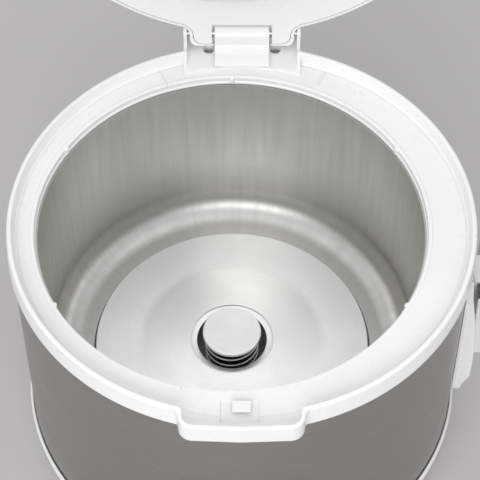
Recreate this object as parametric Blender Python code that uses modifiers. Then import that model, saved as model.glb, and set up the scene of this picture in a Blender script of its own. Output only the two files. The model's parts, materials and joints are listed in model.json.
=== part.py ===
"""Jar-type rice cooker with a hinged lid, as an assembly of separate parts.

The frame has +Z up, -Y to the front and its origin on the table, under the axis of the outer
casing. Lengths in this file are in millimetres, and the helpers turn them into metres.
"""
import math

import bmesh
import bpy
from mathutils import Matrix, Vector

MM = 0.001
GAP = 0.3
RING_STEPS = 48
CHAMBER_STEPS = 40
SMALL_STEPS = 24
MERGE = 0.00001

# Casing
COLLAR_R = 136.0
CREST_Z = 200.0
BAND_Z = 192.5
SKIRT_Z = 186.4
SHELL_R = 134.8
SHELL_WALL = 0.8
SHELL_BOTTOM_Z = 30.3
SHELL_TOP_Z = 189.6
BASE_LIP_R = 137.2
BASE_FLOOR_Z = 2.5
BASE_WALL = 2.5
FOOT_R = 9.0
FOOT_AT = 66.0

# Cooking chamber, which sits a little to the left of the casing's axis
CHAMBER_X = -6.1
MOUTH_R = 114.4
NECK_Z = 187.6
LINER_R = 113.0
LINER_WALL = 1.0
LINER_FLOOR_Z = 68.0
LINER_CORNER_R = 18.0
PLATE_R = 86.5
PLATE_SEAT_Z = 70.8
PLATE_CROWN_Z = 74.0
PLATE_BOTTOM_Z = 58.5
PLATE_HOLE_R = 22.0
SENSOR_R = 18.4
SENSOR_TOP_Z = 82.3
SENSOR_TRAVEL = 5.0

# Front tab, the same on the collar and on the lid
TAB_HALF = 34.3
TAB_Y = -143.7
TAB_CORNER_R = 8.0
TAB_WALL = 2.6

# Hinge
HINGE_Y = 141.0
HINGE_Z = 205.0
LID_OPEN_DEG = 98.0
PIN_R = 2.5
LUG_R = 8.2
LUG_HALF = 32.5
BARREL_R = 7.3
BARREL_HALF = 17.0
EAR_R = 5.8
EAR_HALF = 35.2
EAR_INSIDE = 33.0
TOWER_FLOOR_Z = 194.5
TOWER_BOTTOM_Z = 182.0
SCREW_X = 20.8
SCREW_Y = 136.4

# Lid, described as it lies when closed
LID_R = 138.8
LID_RIM_Z = 201.0
LID_RISE = 47.0
LID_STRAIGHT = 5.0
LID_WALL = 2.5
LID_EDGE = 2.4
LINING_SHEET = 2.0
LINING_TOP_Z = 207.0
NOTCH_Y = 133.1
HOOK_Y = -131.9
HOOK_Z = 208.5
VENT_Y = 40.0
VENT_R = 20.0

# Cooking switch
LEVER_Y = -35.0
LEVER_Z = 28.0
KNOB_Z = 56.0


# ---------------------------------------------------------------- helpers

def clear_scene():
    for obj in list(bpy.data.objects):
        bpy.data.objects.remove(obj)


def new_collection(name):
    collection = bpy.data.collections.new(name)
    bpy.context.scene.collection.children.link(collection)
    return collection


def make_material(name, color, roughness, metallic=0.0):
    material = bpy.data.materials.new(name)
    material.use_nodes = True
    shader = material.node_tree.nodes["Principled BSDF"]
    shader.inputs["Base Color"].default_value = (*color, 1.0)
    shader.inputs["Roughness"].default_value = roughness
    shader.inputs["Metallic"].default_value = metallic
    material.diffuse_color = (*color, 1.0)
    return material


def scaled(point):
    return Vector(point) * MM


def add_object(name, data, at, material=None, frame=None):
    """Place data at a point given as if every frame were at rest, unturned."""
    obj = bpy.data.objects.new(name, data)
    (PARTS if material else CUTTERS).objects.link(obj)
    origin = scaled(at)
    if frame:
        obj.parent = frame
        origin = origin - Vector(frame["rest_origin"])
    obj.location = origin
    if material:
        data.materials.append(material)
    else:
        obj.hide_render = True
        obj.display_type = "WIRE"
    return obj


def add_frame(name, at, open_deg=0.0):
    """An empty on a joint's X axis, turned to its rest angle."""
    frame = bpy.data.objects.new(name, None)
    PARTS.objects.link(frame)
    frame.location = scaled(at)
    frame.rotation_euler.x = math.radians(-open_deg)
    frame["rest_origin"] = tuple(scaled(at))
    return frame


def mesh_from(bm, name):
    mesh = bpy.data.meshes.new(name)
    bm.to_mesh(mesh)
    bm.free()
    mesh.shade_smooth()
    mesh.set_sharp_from_angle(angle=math.radians(35))
    return mesh


def box(name, low, high, material=None, frame=None, bevel=0.0):
    size = [(b - a) * MM for a, b in zip(low, high)]
    middle = [(a + b) / 2 for a, b in zip(low, high)]
    bm = bmesh.new()
    bmesh.ops.create_cube(bm, size=1.0, matrix=Matrix.Diagonal((*size, 1.0)))
    obj = add_object(name, mesh_from(bm, name), middle, material, frame)
    if bevel:
        edge = obj.modifiers.new("rounded edges", "BEVEL")
        edge.width = bevel * MM
        edge.segments = 2
    return obj


def rod(name, radius, start, end, material=None, frame=None, sides=16):
    """A cylinder between two points."""
    start = Vector(start)
    end = Vector(end)
    turn = (end - start).to_track_quat("Z", "Y").to_matrix().to_4x4()
    bm = bmesh.new()
    bmesh.ops.create_cone(
        bm,
        cap_ends=True,
        segments=sides,
        radius1=radius * MM,
        radius2=radius * MM,
        depth=(end - start).length * MM,
        matrix=turn,
    )
    return add_object(name, mesh_from(bm, name), (start + end) / 2, material, frame)


def turned(name, profile, at=(0.0, 0.0), material=None, frame=None, steps=RING_STEPS):
    """Turn (radius, height) points round a vertical axis: outer side downwards."""
    closed = profile[0][0] > 0.0
    bm = bmesh.new()
    points = [bm.verts.new((r * MM, 0.0, z * MM)) for r, z in profile]
    for first, second in zip(points, points[1:]):
        bm.edges.new((first, second))
    if closed:
        bm.edges.new((points[-1], points[0]))
    mesh = bpy.data.meshes.new(name)
    bm.to_mesh(mesh)
    bm.free()
    obj = add_object(name, mesh, (*at, 0.0), material, frame)
    screw = obj.modifiers.new("turn", "SCREW")
    screw.steps = steps
    screw.render_steps = steps
    screw.use_merge_vertices = True
    screw.merge_threshold = MERGE
    return obj


def as_mesh(obj):
    """Replace a curve object by a welded mesh object."""
    name = obj.name
    material = obj.data.materials[0] if obj.data.materials else None
    bpy.context.view_layer.update()
    graph = bpy.context.evaluated_depsgraph_get()
    mesh = bpy.data.meshes.new_from_object(obj.evaluated_get(graph))
    bm = bmesh.new()
    bm.from_mesh(mesh)
    bmesh.ops.remove_doubles(bm, verts=bm.verts, dist=MERGE)
    bmesh.ops.recalc_face_normals(bm, faces=bm.faces)
    bpy.data.meshes.remove(mesh)
    new_mesh = mesh_from(bm, name)
    new_obj = bpy.data.objects.new(name, new_mesh)
    obj.users_collection[0].objects.link(new_obj)
    new_obj.parent = obj.parent
    new_obj.location = obj.location
    new_obj.rotation_euler = obj.rotation_euler
    new_obj.hide_render = obj.hide_render
    new_obj.display_type = obj.display_type
    bpy.data.objects.remove(obj)
    new_obj.name = name
    if material and not new_mesh.materials:
        new_mesh.materials.append(material)
    return new_obj


PRISM_TURNS = {
    "XY": (0.0, 0.0, 0.0),
    "YZ": (math.pi / 2, 0.0, math.pi / 2),
    "XZ": (math.pi / 2, 0.0, 0.0),
}


def prism(name, outline, plane, low, high, material=None, frame=None):
    """Extrude a flat outline in plane XY, YZ or XZ between two heights on the third axis."""
    curve = bpy.data.curves.new(name, "CURVE")
    curve.dimensions = "2D"
    curve.fill_mode = "BOTH"
    curve.extrude = (high - low) / 2 * MM
    spline = curve.splines.new("POLY")
    spline.points.add(len(outline) - 1)
    for point, (u, v) in zip(spline.points, outline):
        point.co = (u * MM, v * MM, 0.0, 1.0)
    spline.use_cyclic_u = True
    middle = (low + high) / 2
    at = {"XY": (0, 0, middle), "YZ": (middle, 0, 0), "XZ": (0, middle, 0)}[plane]
    obj = add_object(name, curve, at, material, frame)
    obj.rotation_euler = PRISM_TURNS[plane]
    return as_mesh(obj)


def wire(name, points, radius, material, frame=None):
    """A round wire through the points."""
    curve = bpy.data.curves.new(name, "CURVE")
    curve.dimensions = "3D"
    curve.bevel_depth = radius * MM
    curve.bevel_resolution = 2
    curve.use_fill_caps = True
    spline = curve.splines.new("POLY")
    spline.points.add(len(points) - 1)
    for point, place in zip(spline.points, points):
        point.co = (*scaled(place), 1.0)
    return add_object(name, curve, (0, 0, 0), material, frame)


def combine(obj, operation, tools):
    for tool in tools:
        boolean = obj.modifiers.new(tool.name, "BOOLEAN")
        boolean.operation = operation
        boolean.solver = "EXACT"
        boolean.object = tool


def join(obj, *tools):
    combine(obj, "UNION", tools)


def cut(obj, *tools):
    combine(obj, "DIFFERENCE", tools)


def intersect(obj, *tools):
    combine(obj, "INTERSECT", tools)


def arc(middle, radius, start_deg, end_deg, steps):
    """Points on an arc, both ends included."""
    points = []
    for step in range(steps + 1):
        angle = math.radians(start_deg + (end_deg - start_deg) * step / steps)
        points.append((middle[0] + radius * math.cos(angle), middle[1] + radius * math.sin(angle)))
    return points


def rounded(corners, steps=4):
    """An outline through (u, v, radius) corners, each rounded by its radius."""
    outline = []
    count = len(corners)
    for index, (u, v, radius) in enumerate(corners):
        corner = Vector((u, v))
        if radius <= 0.0:
            outline.append((u, v))
            continue
        before = (Vector(corners[index - 1][:2]) - corner).normalized()
        after = (Vector(corners[(index + 1) % count][:2]) - corner).normalized()
        half = before.angle(after) / 2
        reach = radius / math.tan(half)
        middle = corner + (before + after).normalized() * (radius / math.sin(half))
        first = corner + before * reach - middle
        last = corner + after * reach - middle
        for step in range(steps + 1):
            ray = first.slerp(last, step / steps)
            outline.append(tuple(middle + ray.normalized() * radius))
    return outline


def helix(middle, radius, turns, low, high, per_turn=10):
    """Points of a coil about a vertical axis."""
    points = []
    count = round(turns * per_turn)
    for step in range(count + 1):
        angle = 2 * math.pi * step / per_turn
        height = low + (high - low) * step / count
        x = middle[0] + radius * math.cos(angle)
        y = middle[1] + radius * math.sin(angle)
        points.append((x, y, height))
    return points


def smooth_path(corners, per_span=3):
    """Points on a smooth curve through the corners."""
    knots = [Vector(c) for c in corners]
    knots = [knots[0] * 2 - knots[1]] + knots + [knots[-1] * 2 - knots[-2]]
    points = []
    for a, b, c, d in zip(knots, knots[1:], knots[2:], knots[3:]):
        for step in range(per_span):
            t = step / per_span
            place = b * 2 + (c - a) * t
            place += (a * 2 - b * 5 + c * 4 - d) * t ** 2
            place += (b * 3 - a - c * 3 + d) * t ** 3
            points.append(tuple(place / 2))
    points.append(tuple(knots[-2]))
    return points


# ---------------------------------------------------------------- casing

def base_housing():
    """White base: a tucked-in bowl whose lip stands round the foot of the shell."""
    lip = BASE_LIP_R
    floor = BASE_FLOOR_Z
    profile = [(lip - 0.4, 33.5), (lip, 31.6), (136.4, 26), (133.4, 17.5), (128.4, 10.2), (121, 5)]
    profile += [(108, floor), (0, floor)]
    inside = [(0, floor + BASE_WALL), (108, floor + BASE_WALL), (119.4, 7.4), (126.6, 12.4), (131.2, 18.9)]
    inside += [(133.6, 26), (133.6, SHELL_BOTTOM_Z - 0.4), (135.4, SHELL_BOTTOM_Z - 0.4), (135.4, 33.5)]
    base = turned("base_housing", inside + profile, material=WHITE)
    for index in range(8):
        angle = math.radians(45 * index)
        ray = Vector((math.cos(angle), math.sin(angle), 0))
        middle = Vector((0, 0, 3.7))
        slot = rod(f"vent_slot_{index}", 2.4, middle + ray * 34, middle + ray * 72, sides=4)
        slot.scale.z = 3.0
        cut(base, slot)


def corners_of(reach):
    """The four foot places, with their names."""
    return [
        ("front_left", -reach, -reach),
        ("front_right", reach, -reach),
        ("rear_left", -reach, reach),
        ("rear_right", reach, reach),
    ]


def rubber_feet():
    """Four soft feet under the base."""
    for name, x, y in corners_of(FOOT_AT):
        rod(f"foot_{name}", FOOT_R, (x, y, 0), (x, y, BASE_FLOOR_Z - GAP), BLACK_RUBBER, sides=20)


def outer_shell():
    """Rolled steel drum between base and collar, with its panel windows."""
    inner = SHELL_R - SHELL_WALL
    profile = [(SHELL_R, SHELL_TOP_Z), (SHELL_R, SHELL_BOTTOM_Z)]
    profile += [(inner, SHELL_BOTTOM_Z), (inner, SHELL_TOP_Z)]
    shell = turned("outer_shell", profile, material=STEEL)
    cut(shell, box("shell_lever_window", (-12, -150, 41), (12, -120, 61)))
    for side in (-1, 1):
        cut(shell, rod(f"shell_lamp_hole_{side}", 3.4, (14 * side, -150, 88), (14 * side, -120, 88)))
    cut(shell, box("shell_inlet_window", (-12.6, 120, 44.4), (12.6, 150, 65.6)))


def tab_outline(inset=0.0, back=-118.0):
    """The front tab seen from above, its front edge bowed a little."""
    half = TAB_HALF - inset
    front = TAB_Y + inset
    bow = 1.4
    corner = TAB_CORNER_R - inset
    return rounded([
        (-half, back, 0),
        (-half, front + bow, corner),
        (0, front, 0),
        (half, front + bow, corner),
        (half, back, 0),
    ])


def hinge_tower():
    """Raised rear part of the collar with the two ears that hold the hinge pin."""
    ear = arc((HINGE_Y, HINGE_Z), EAR_R, 150, -10, 6)
    outline = [(112, TOWER_BOTTOM_Z), (112, 192.8), (122.5, 194.9), (131, 198.6), (136.2, CREST_Z - 0.3)]
    outline += ear
    outline += [(149.5, 196), (151, 186), (149.5, TOWER_BOTTOM_Z)]
    tower = prism("hinge_tower", outline, "YZ", -EAR_HALF, EAR_HALF)
    cut(tower, rod("tower_front", 122.0, (0, 0, 170), (0, 0, 220), sides=RING_STEPS))
    cut(tower, shell_space("tower_shell_space"))
    return tower


def shell_space(name):
    """Room for the shell's upper edge, ending inside the collar's own walls."""
    return rod(name, SHELL_R + 1.1, (0, 0, 150), (0, 0, SHELL_TOP_Z + 1.2), sides=RING_STEPS)


def collar():
    """White moulded ring: skirt, crest, sloping band and the neck of the chamber."""
    crest = CREST_Z
    profile = [(COLLAR_R - 1.5, crest), (COLLAR_R - 0.4, crest - 0.5), (COLLAR_R, crest - 1.6)]
    profile += [(COLLAR_R + 0.8, SKIRT_Z), (SHELL_R + 0.5, SKIRT_Z), (SHELL_R + 0.5, SHELL_TOP_Z + 0.6)]
    profile += [(102, SHELL_TOP_Z + 0.6), (102, BAND_Z), (129.6, BAND_Z), (131, BAND_Z - 0.6)]
    profile += [(132.2, BAND_Z + 1.2), (133.1, crest - 0.6), (133.7, crest)]
    ring = turned("collar", profile, material=WHITE)
    tab = prism("collar_tab", tab_outline(), "XY", SKIRT_Z - 0.2, crest - 0.05)
    cut(tab, shell_space("tab_shell_space"))
    join(ring, tab)
    join(ring, hinge_tower())
    cut(ring, rod("mouth_cut", MOUTH_R + 0.8, (CHAMBER_X, 0, 170), (CHAMBER_X, 0, 230), sides=RING_STEPS))
    neck = [(117, BAND_Z - 1.0), (116.6, NECK_Z), (113.8, NECK_Z)]
    neck += [(113.8, NECK_Z + 1.0), (MOUTH_R, NECK_Z + 1.6)]
    neck += [(MOUTH_R, BAND_Z + 0.1), (MOUTH_R + 0.5, BAND_Z + 0.4), (116.6, BAND_Z + 0.4)]
    join(ring, turned("neck", neck, at=(CHAMBER_X, 0)))
    for index in range(6):
        angle = math.radians(30 + 60 * index)
        x = CHAMBER_X + (MOUTH_R + 0.6) * math.cos(angle)
        y = (MOUTH_R + 0.6) * math.sin(angle)
        join(ring, rod(f"nub_{index}", 1.9, (x, y, NECK_Z + 0.2), (x, y, BAND_Z - 0.4), sides=10))
    for side in (-1, 1):
        rib = box(f"hinge_rib_{side}", (-6, -0.6, BAND_Z - 1), (6, 0.6, BAND_Z + 1.0))
        angle = math.radians(90 - 23.5 * side)
        rib.location = scaled((122.5 * math.cos(angle), 122.5 * math.sin(angle), BAND_Z))
        rib.rotation_euler.z = angle
        join(ring, rib)
    cut(ring, prism("tab_pocket", tab_outline(TAB_WALL, -110), "XY", BAND_Z + 0.5, 230))
    cut(ring, box("keeper_recess", (-11.5, -137.6, BAND_Z - 1.0), (9.5, -120, 230)))
    cut(ring, box("tower_pocket", (-EAR_INSIDE, 119, TOWER_FLOOR_Z), (EAR_INSIDE, 170, 230)))
    cut(ring, rod("pin_bore", PIN_R + GAP, (-50, HINGE_Y, HINGE_Z), (50, HINGE_Y, HINGE_Z)))
    for side in (-1, 1):
        x = SCREW_X * side
        cut(ring, rod(f"screw_well_{side}", 3.3, (x, SCREW_Y, 188.5), (x, SCREW_Y, 230)))
        cut(ring, rod(f"screw_bore_{side}", 1.8, (x, SCREW_Y, 170), (x, SCREW_Y, 189), sides=10))


def latch_keeper():
    """Strike block that the lid's hook catches, with its lip to the front."""
    floor = BAND_Z - 1.0 + GAP
    outline = [(-121.6, floor), (-121.6, 196.0), (-129.8, 196.0)]
    outline += [(-129.8, 194.7), (-128.2, 194.7), (-128.2, floor)]
    prism("latch_keeper", outline, "YZ", -5.2, 5.2, WHITE)


def side_bracket():
    """White rail on the right side of the casing that carries the paddle holder."""
    rail = [(128, 58), (137, 58), (140.2, 61), (140.6, 70), (142.4, 76), (144.6, 80), (145, 83)]
    rail += [(144.5, 96), (144.1, 113), (143.4, 129), (142.3, 139), (139.8, 156), (137, 171), (128, 171)]
    bracket = prism("side_bracket", rail, "XZ", -23.8, 23.8, WHITE)
    outline = rounded([(-33, 57, 8), (33, 57, 8), (33, 150, 26), (0, 174, 6), (-33, 150, 26)])
    flange = prism("bracket_flange", outline, "YZ", 120, 150)
    ring = [(SHELL_R + 2.0, 190), (SHELL_R + 2.0, 40), (SHELL_R - 2.0, 40), (SHELL_R - 2.0, 190)]
    intersect(flange, turned("flange_ring", ring))
    join(bracket, flange)
    cut(bracket, rod("bracket_back", SHELL_R + GAP, (0, 0, 40), (0, 0, 190), sides=RING_STEPS))
    cut(bracket, box("hook_slot", (138.4, -10.5, 121.5), (141.4, 10.5, 180)))


def paddle_holder():
    """Translucent pocket that hangs on the side bracket and lifts off upwards."""
    holder = box("paddle_holder", (140.0, -26, 95), (160.5, 26, 150), CLEAR_PLASTIC, bevel=1.2)
    cut(holder, box("holder_pocket", (147.4, -24, 97.2), (158.5, 24, 160)))
    cut(holder, box("holder_back", (130, -24.2, 80), (145.4, 24.2, 160)))
    hook = [(138.8, 122), (141.0, 122), (141.0, 147.4), (146.4, 147.4), (146.4, 149.6), (138.8, 149.6)]
    join(holder, prism("holder_hook", hook, "XZ", -10, 10))


def front_panel():
    """Control panel: a curved plate with the switch slot and two lamp holes."""
    outline = rounded([(-40, 37, 7), (40, 37, 7), (40, 118, 9), (-40, 118, 9)])
    panel = prism("front_panel", outline, "XZ", -150, -120, GREY_PLASTIC)
    ring = [(139.0, 130), (139.0, 30), (SHELL_R + GAP, 30), (SHELL_R + GAP, 130)]
    intersect(panel, turned("panel_ring", ring))
    cut(panel, box("lever_slot", (-6.0, -150, 43), (6.0, -120, 59.5)))
    for side in (-1, 1):
        cut(panel, rod(f"lamp_hole_{side}", 3.0, (14 * side, -150, 88), (14 * side, -120, 88)))
    rod("lamp_lens_cook", 2.7, (-14, -139.4, 88), (-14, -130, 88), RED)
    rod("lamp_lens_warm", 2.7, (14, -139.4, 88), (14, -130, 88), AMBER)


def power_inlet():
    """Appliance inlet at the rear, with its three pins, and the wiring behind it."""
    inlet = box("ac_inlet", (-12, 119, 45), (12, 138, 65), BLACK_PLASTIC)
    join(inlet, box("inlet_flange", (-17, 135.4, 40), (17, 138.4, 70)))
    cut(inlet, box("inlet_socket", (-9.6, 123, 47.4), (9.6, 150, 62.6)))
    for name, x, z in (("live", -5, 53), ("neutral", 5, 53), ("earth", 0, 58.5)):
        cut(inlet, rod(f"bore_{name}", 1.6, (x, 110, z), (x, 130, z)))
        rod(f"inlet_pin_{name}", 1.3, (x, 116, z), (x, 133, z), BRASS)
    block = box("terminal_block", (-18, 84, 5.3), (18, 98, 19), IVORY)
    cut(block, box("terminal_groove", (-15, 88, 15), (15, 94, 30)))
    for name, side, color in (("live", -1, RED), ("neutral", 1, BLACK_PLASTIC)):
        start = [(5 * side, 115.6, 53), (5 * side, 109, 52), (11 * side, 100, 38)]
        end = [(12 * side, 91, 26), (12 * side, 91, 16)]
        wire(f"{name}_lead", smooth_path(start + end), 1.1, color)


# ---------------------------------------------------------------- chamber, heater and sensor

def chamber(x=CHAMBER_X):
    """Axis of the cooking chamber."""
    return (x, 0.0)


def inner_liner():
    """Metal bucket with a flange at the top and an opening for the heating plate."""
    top = NECK_Z - GAP
    outer = LINER_R + LINER_WALL
    corner = (LINER_R - LINER_CORNER_R, LINER_FLOOR_Z + LINER_CORNER_R)
    under = LINER_FLOOR_Z - LINER_WALL
    profile = [(118.4, top), (118.4, top - LINER_WALL), (outer, top - LINER_WALL)]
    profile += arc(corner, LINER_CORNER_R + LINER_WALL, 0, -90, 4)
    profile += [(PLATE_R + 0.7, under), (PLATE_R + 0.7, LINER_FLOOR_Z)]
    profile += arc(corner, LINER_CORNER_R, -90, 0, 4) + [(LINER_R, top)]
    turned("inner_liner", profile, at=chamber(), material=SATIN_STEEL, steps=CHAMBER_STEPS)


def heating_plate():
    """Cast aluminium plate, its top turned, with a bevelled ring round the sensor."""
    profile = [(26.2, PLATE_CROWN_Z), (58, PLATE_SEAT_Z)]
    profile += [(PLATE_R - 0.8, PLATE_SEAT_Z), (PLATE_R, PLATE_SEAT_Z - 0.8)]
    profile += [(PLATE_R, PLATE_BOTTOM_Z), (PLATE_HOLE_R, PLATE_BOTTOM_Z)]
    profile += [(PLATE_HOLE_R, PLATE_CROWN_Z - 0.7), (25.0, PLATE_CROWN_Z - 0.4)]
    turned("heating_plate", profile, at=chamber(), material=ALUMINIUM, steps=CHAMBER_STEPS)


def heating_element():
    """Sheathed element under the plate, its two ends turned down."""
    radius = 58.0
    height = 53.6
    ring = [(CHAMBER_X + x, y, height) for x, y in arc((0, 0), radius, -62, 242, 20)]
    first = ring[0]
    last = ring[-1]
    ends = [(first[0], first[1] - 4, height - 7), (first[0], first[1] - 4, 36)]
    tail = [(last[0], last[1] - 4, height - 7), (last[0], last[1] - 4, 36)]
    wire("heating_element", ends[::-1] + ring + tail, 4.0, DARK_STEEL)
    return ends[1], tail[1]


def heat_shield(element_ends):
    """Pressed dish that keeps the heat off the base."""
    profile = [(85, 49), (85, 43), (21, 43), (21, 44), (84, 44), (84, 49)]
    shield = turned("heat_shield", profile, at=chamber(), material=STEEL, steps=CHAMBER_STEPS)
    for index, (x, y, _) in enumerate(element_ends):
        cut(shield, rod(f"shield_hole_{index}", 6.0, (x, y, 30), (x, y, 60)))


def sensor():
    """Sprung cap with the ferrite under it, and the fixed sleeve they slide in."""
    under = SENSOR_TOP_Z - 2.1
    cap = [(0, SENSOR_TOP_Z), (SENSOR_R - 0.7, SENSOR_TOP_Z), (SENSOR_R, SENSOR_TOP_Z - 0.7)]
    cap += [(SENSOR_R, under + 0.4), (SENSOR_R - 0.6, under), (0, under)]
    turned("sensor_cap", cap, at=chamber(), material=CAP_METAL, steps=32)
    top = under - GAP
    bottom = top - 5.3
    rod("sensor_ferrite", 9.5, (CHAMBER_X, 0, bottom), (CHAMBER_X, 0, top), DARK_STEEL, sides=24)
    sleeve = [(11.3, 74.3), (11.3, 58.2), (26, 58.2), (26, 57), (10.5, 57), (10.5, 74.3)]
    turned("sensor_sleeve", sleeve, at=chamber(), material=DARK_STEEL, steps=24)
    wire("sensor_spring", helix(chamber(), 16.6, 4, 59.3, 79.1, per_turn=12), 0.75, SPRING_STEEL)


def magnet_lift():
    """Magnet and its rod, which the lever raises towards the ferrite."""
    profile = [(8.5, 65.8), (8.5, 62.3), (1.7, 62.3), (1.7, 65.8)]
    turned("magnet", profile, at=chamber(), material=DARK_STEEL, steps=24)
    rod("magnet_rod", 1.4, (CHAMBER_X, 0, 29.4), (CHAMBER_X, 0, 65.8), STEEL, sides=12)


def warmer_band():
    """Keep-warm heater wrapped round the liner."""
    profile = [(117, 142), (117, 112), (114.8, 112), (114.8, 142)]
    turned("warmer_band", profile, at=chamber(), material=DARK_STEEL, steps=CHAMBER_STEPS)


def thermal_fuse():
    """Safety fuse under the heat shield."""
    rod("thermal_fuse", 2.8, (18, 26, 39.6), (42, 26, 39.6), IVORY, sides=12)


def support_legs():
    """Steel straps that carry the heat shield and the plate above the base."""
    for index, angle_deg in enumerate((90, 210, 330)):
        outline = [(66, 5.3), (80, 5.3), (80, 6.8), (76, 6.8), (76, 41.2), (80, 41.2)]
        outline += [(80, 42.7), (74.5, 42.7), (74.5, 6.8), (66, 6.8)]
        leg = prism(f"support_leg_{index + 1}", outline, "XZ", -6, 6, STEEL)
        angle = math.radians(angle_deg)
        leg.rotation_euler.z = angle
        leg.location = scaled((CHAMBER_X, 0, 0))


# ---------------------------------------------------------------- cooking switch

def cook_lever():
    """Steel lever from the front knob to the magnet rod, on a pin near the middle."""
    thick = 1.0
    path = [(2, LEVER_Z), (-88, LEVER_Z), (-100, KNOB_Z), (-143.5, KNOB_Z)]
    outline = [(y, z + thick) for y, z in path]
    outline[1] = (path[1][0] + 0.6, path[1][1] + thick)
    outline += [(y, z - thick) for y, z in path[::-1]]
    lever = prism("cook_lever", outline, "YZ", -9.4, 3.4, STEEL, SWITCH)
    join(lever, rod("lever_hub", 4.2, (-9.4, LEVER_Y, LEVER_Z), (3.4, LEVER_Y, LEVER_Z), frame=SWITCH))
    cut(lever, rod("lever_bore", 2.3, (-30, LEVER_Y, LEVER_Z), (30, LEVER_Y, LEVER_Z), frame=SWITCH))
    cut(lever, box("lever_neck", (3.0, -150, 40), (9, -120, 70), frame=SWITCH))
    cut(lever, box("lever_neck_left", (-20, -150, 40), (-3.0, -120, 70), frame=SWITCH))
    knob = box("cook_knob", (-17, -146.0, 49.5), (17, -139.9, 62), WHITE, SWITCH, bevel=1.4)
    cut(knob, box("knob_socket", (-3.4, -144.0, KNOB_Z - 1.3), (3.4, -130, KNOB_Z + 1.3), frame=SWITCH))
    bracket = box("lever_bracket", (-14.5, LEVER_Y - 7, 5.3), (8.5, LEVER_Y + 7, 34), STEEL)
    cut(bracket, box("bracket_inside", (-11.5, LEVER_Y - 20, 7.3), (5.5, LEVER_Y + 20, 50)))
    cut(bracket, rod("bracket_bore", 2.3, (-30, LEVER_Y, LEVER_Z), (30, LEVER_Y, LEVER_Z)))
    rod("lever_pin", 2.0, (-15.5, LEVER_Y, LEVER_Z), (9.5, LEVER_Y, LEVER_Z), STEEL)


def micro_switch():
    """Snap switch under the lever, with its plunger."""
    body = box("micro_switch", (-10, -70, 5.3), (4, -50, 20.5), BLACK_PLASTIC)
    cut(body, rod("plunger_bore", 1.9, (-3, -60, 14), (-3, -60, 30), sides=12))
    rod("switch_plunger", 1.6, (-3, -60, 17.2), (-3, -60, LEVER_Z - 1.0 - GAP), IVORY, sides=12)


# ---------------------------------------------------------------- hinge

def hinge():
    """Hinge pin, its white cover with the lid spring inside, and the screwed bracket."""
    pin_half = EAR_HALF - 0.3
    rod("hinge_pin", PIN_R, (-pin_half, HINGE_Y, HINGE_Z), (pin_half, HINGE_Y, HINGE_Z), STEEL)
    floor = TOWER_FLOOR_Z + GAP
    barrel = arc((HINGE_Y, HINGE_Z), BARREL_R, 196, -10, 10)
    outline = [(122.4, floor), (122.8, floor + 0.7), (131.2, 199.4)] + barrel + [(148.0, floor)]
    cover = prism("hinge_cover", outline, "YZ", -BARREL_HALF, BARREL_HALF, WHITE)
    cut(cover, rod("spring_space", 5.2, (-14.5, HINGE_Y, HINGE_Z), (14.5, HINGE_Y, HINGE_Z)))
    cut(cover, box("spring_access", (-14.3, HINGE_Y - 5, 180), (14.3, HINGE_Y + 5, HINGE_Z)))
    cut(cover, rod("cover_bore", PIN_R + GAP, (-50, HINGE_Y, HINGE_Z), (50, HINGE_Y, HINGE_Z)))
    coil = helix((0, 0), 3.9, 5, -12, 12, per_turn=8)
    wire("lid_spring", [(z, HINGE_Y + x, HINGE_Z + y) for x, y, z in coil], 0.6, SPRING_STEEL)
    under = TOWER_BOTTOM_Z - GAP
    bracket = box("hinge_bracket", (-30, 128, under - 2), (30, 149, under), STEEL)
    cut(bracket, rod("bracket_shell_side", SHELL_R + GAP, (0, 0, 160), (0, 0, 200), sides=RING_STEPS))
    for side, name in ((-1, "left"), (1, "right")):
        x = SCREW_X * side
        y = SCREW_Y
        screw = rod(f"hinge_screw_{name}", 2.8, (x, y, 188.8), (x, y, 190.6), STEEL, sides=12)
        join(screw, rod(f"screw_shank_{name}", 1.4, (x, y, 177.5), (x, y, 189.5), sides=10))
        cut(screw, box(f"screw_slot_{name}", (x - 2, y - 0.4, 190.0), (x + 2, y + 0.4, 192)))
        cut(bracket, rod(f"bracket_hole_{name}", 1.8, (x, y, 170), (x, y, 190), sides=10))


# ---------------------------------------------------------------- lid

def post(name, radius, at, low, high, sides=RING_STEPS, material=None):
    """An upright cylinder in the closed lid's own coordinates."""
    return rod(name, radius, (at[0], at[1], low), (at[0], at[1], high), material, LID, sides)


def dome(radius, rise, base_z, steps=7):
    """Lid profile from the rim up to the centre, a flattened quarter ellipse."""
    power = 2.0 / 2.7
    points = []
    for step in range(steps + 1):
        angle = math.pi / 2 * step / steps
        r = radius * max(math.cos(angle), 0.0) ** power
        points.append((0.0 if step == steps else r, base_z + rise * math.sin(angle) ** power))
    return points


def neck_outline(inset=0.0, front=118.0):
    """The lid's rear neck seen from above, flaring into the round rim."""
    half = LUG_HALF - inset
    back = HINGE_Y + LUG_R - inset
    flare = arc((half + 5.0, 137.4), 5.0, 240, 180, 4)
    corner = arc((half - 6.0, back - 6.0), 6.0, 0, 90, 4)
    side = [(half + 4.6, front)] + flare + corner
    return side + [(-x, y) for x, y in side[::-1]]


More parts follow.
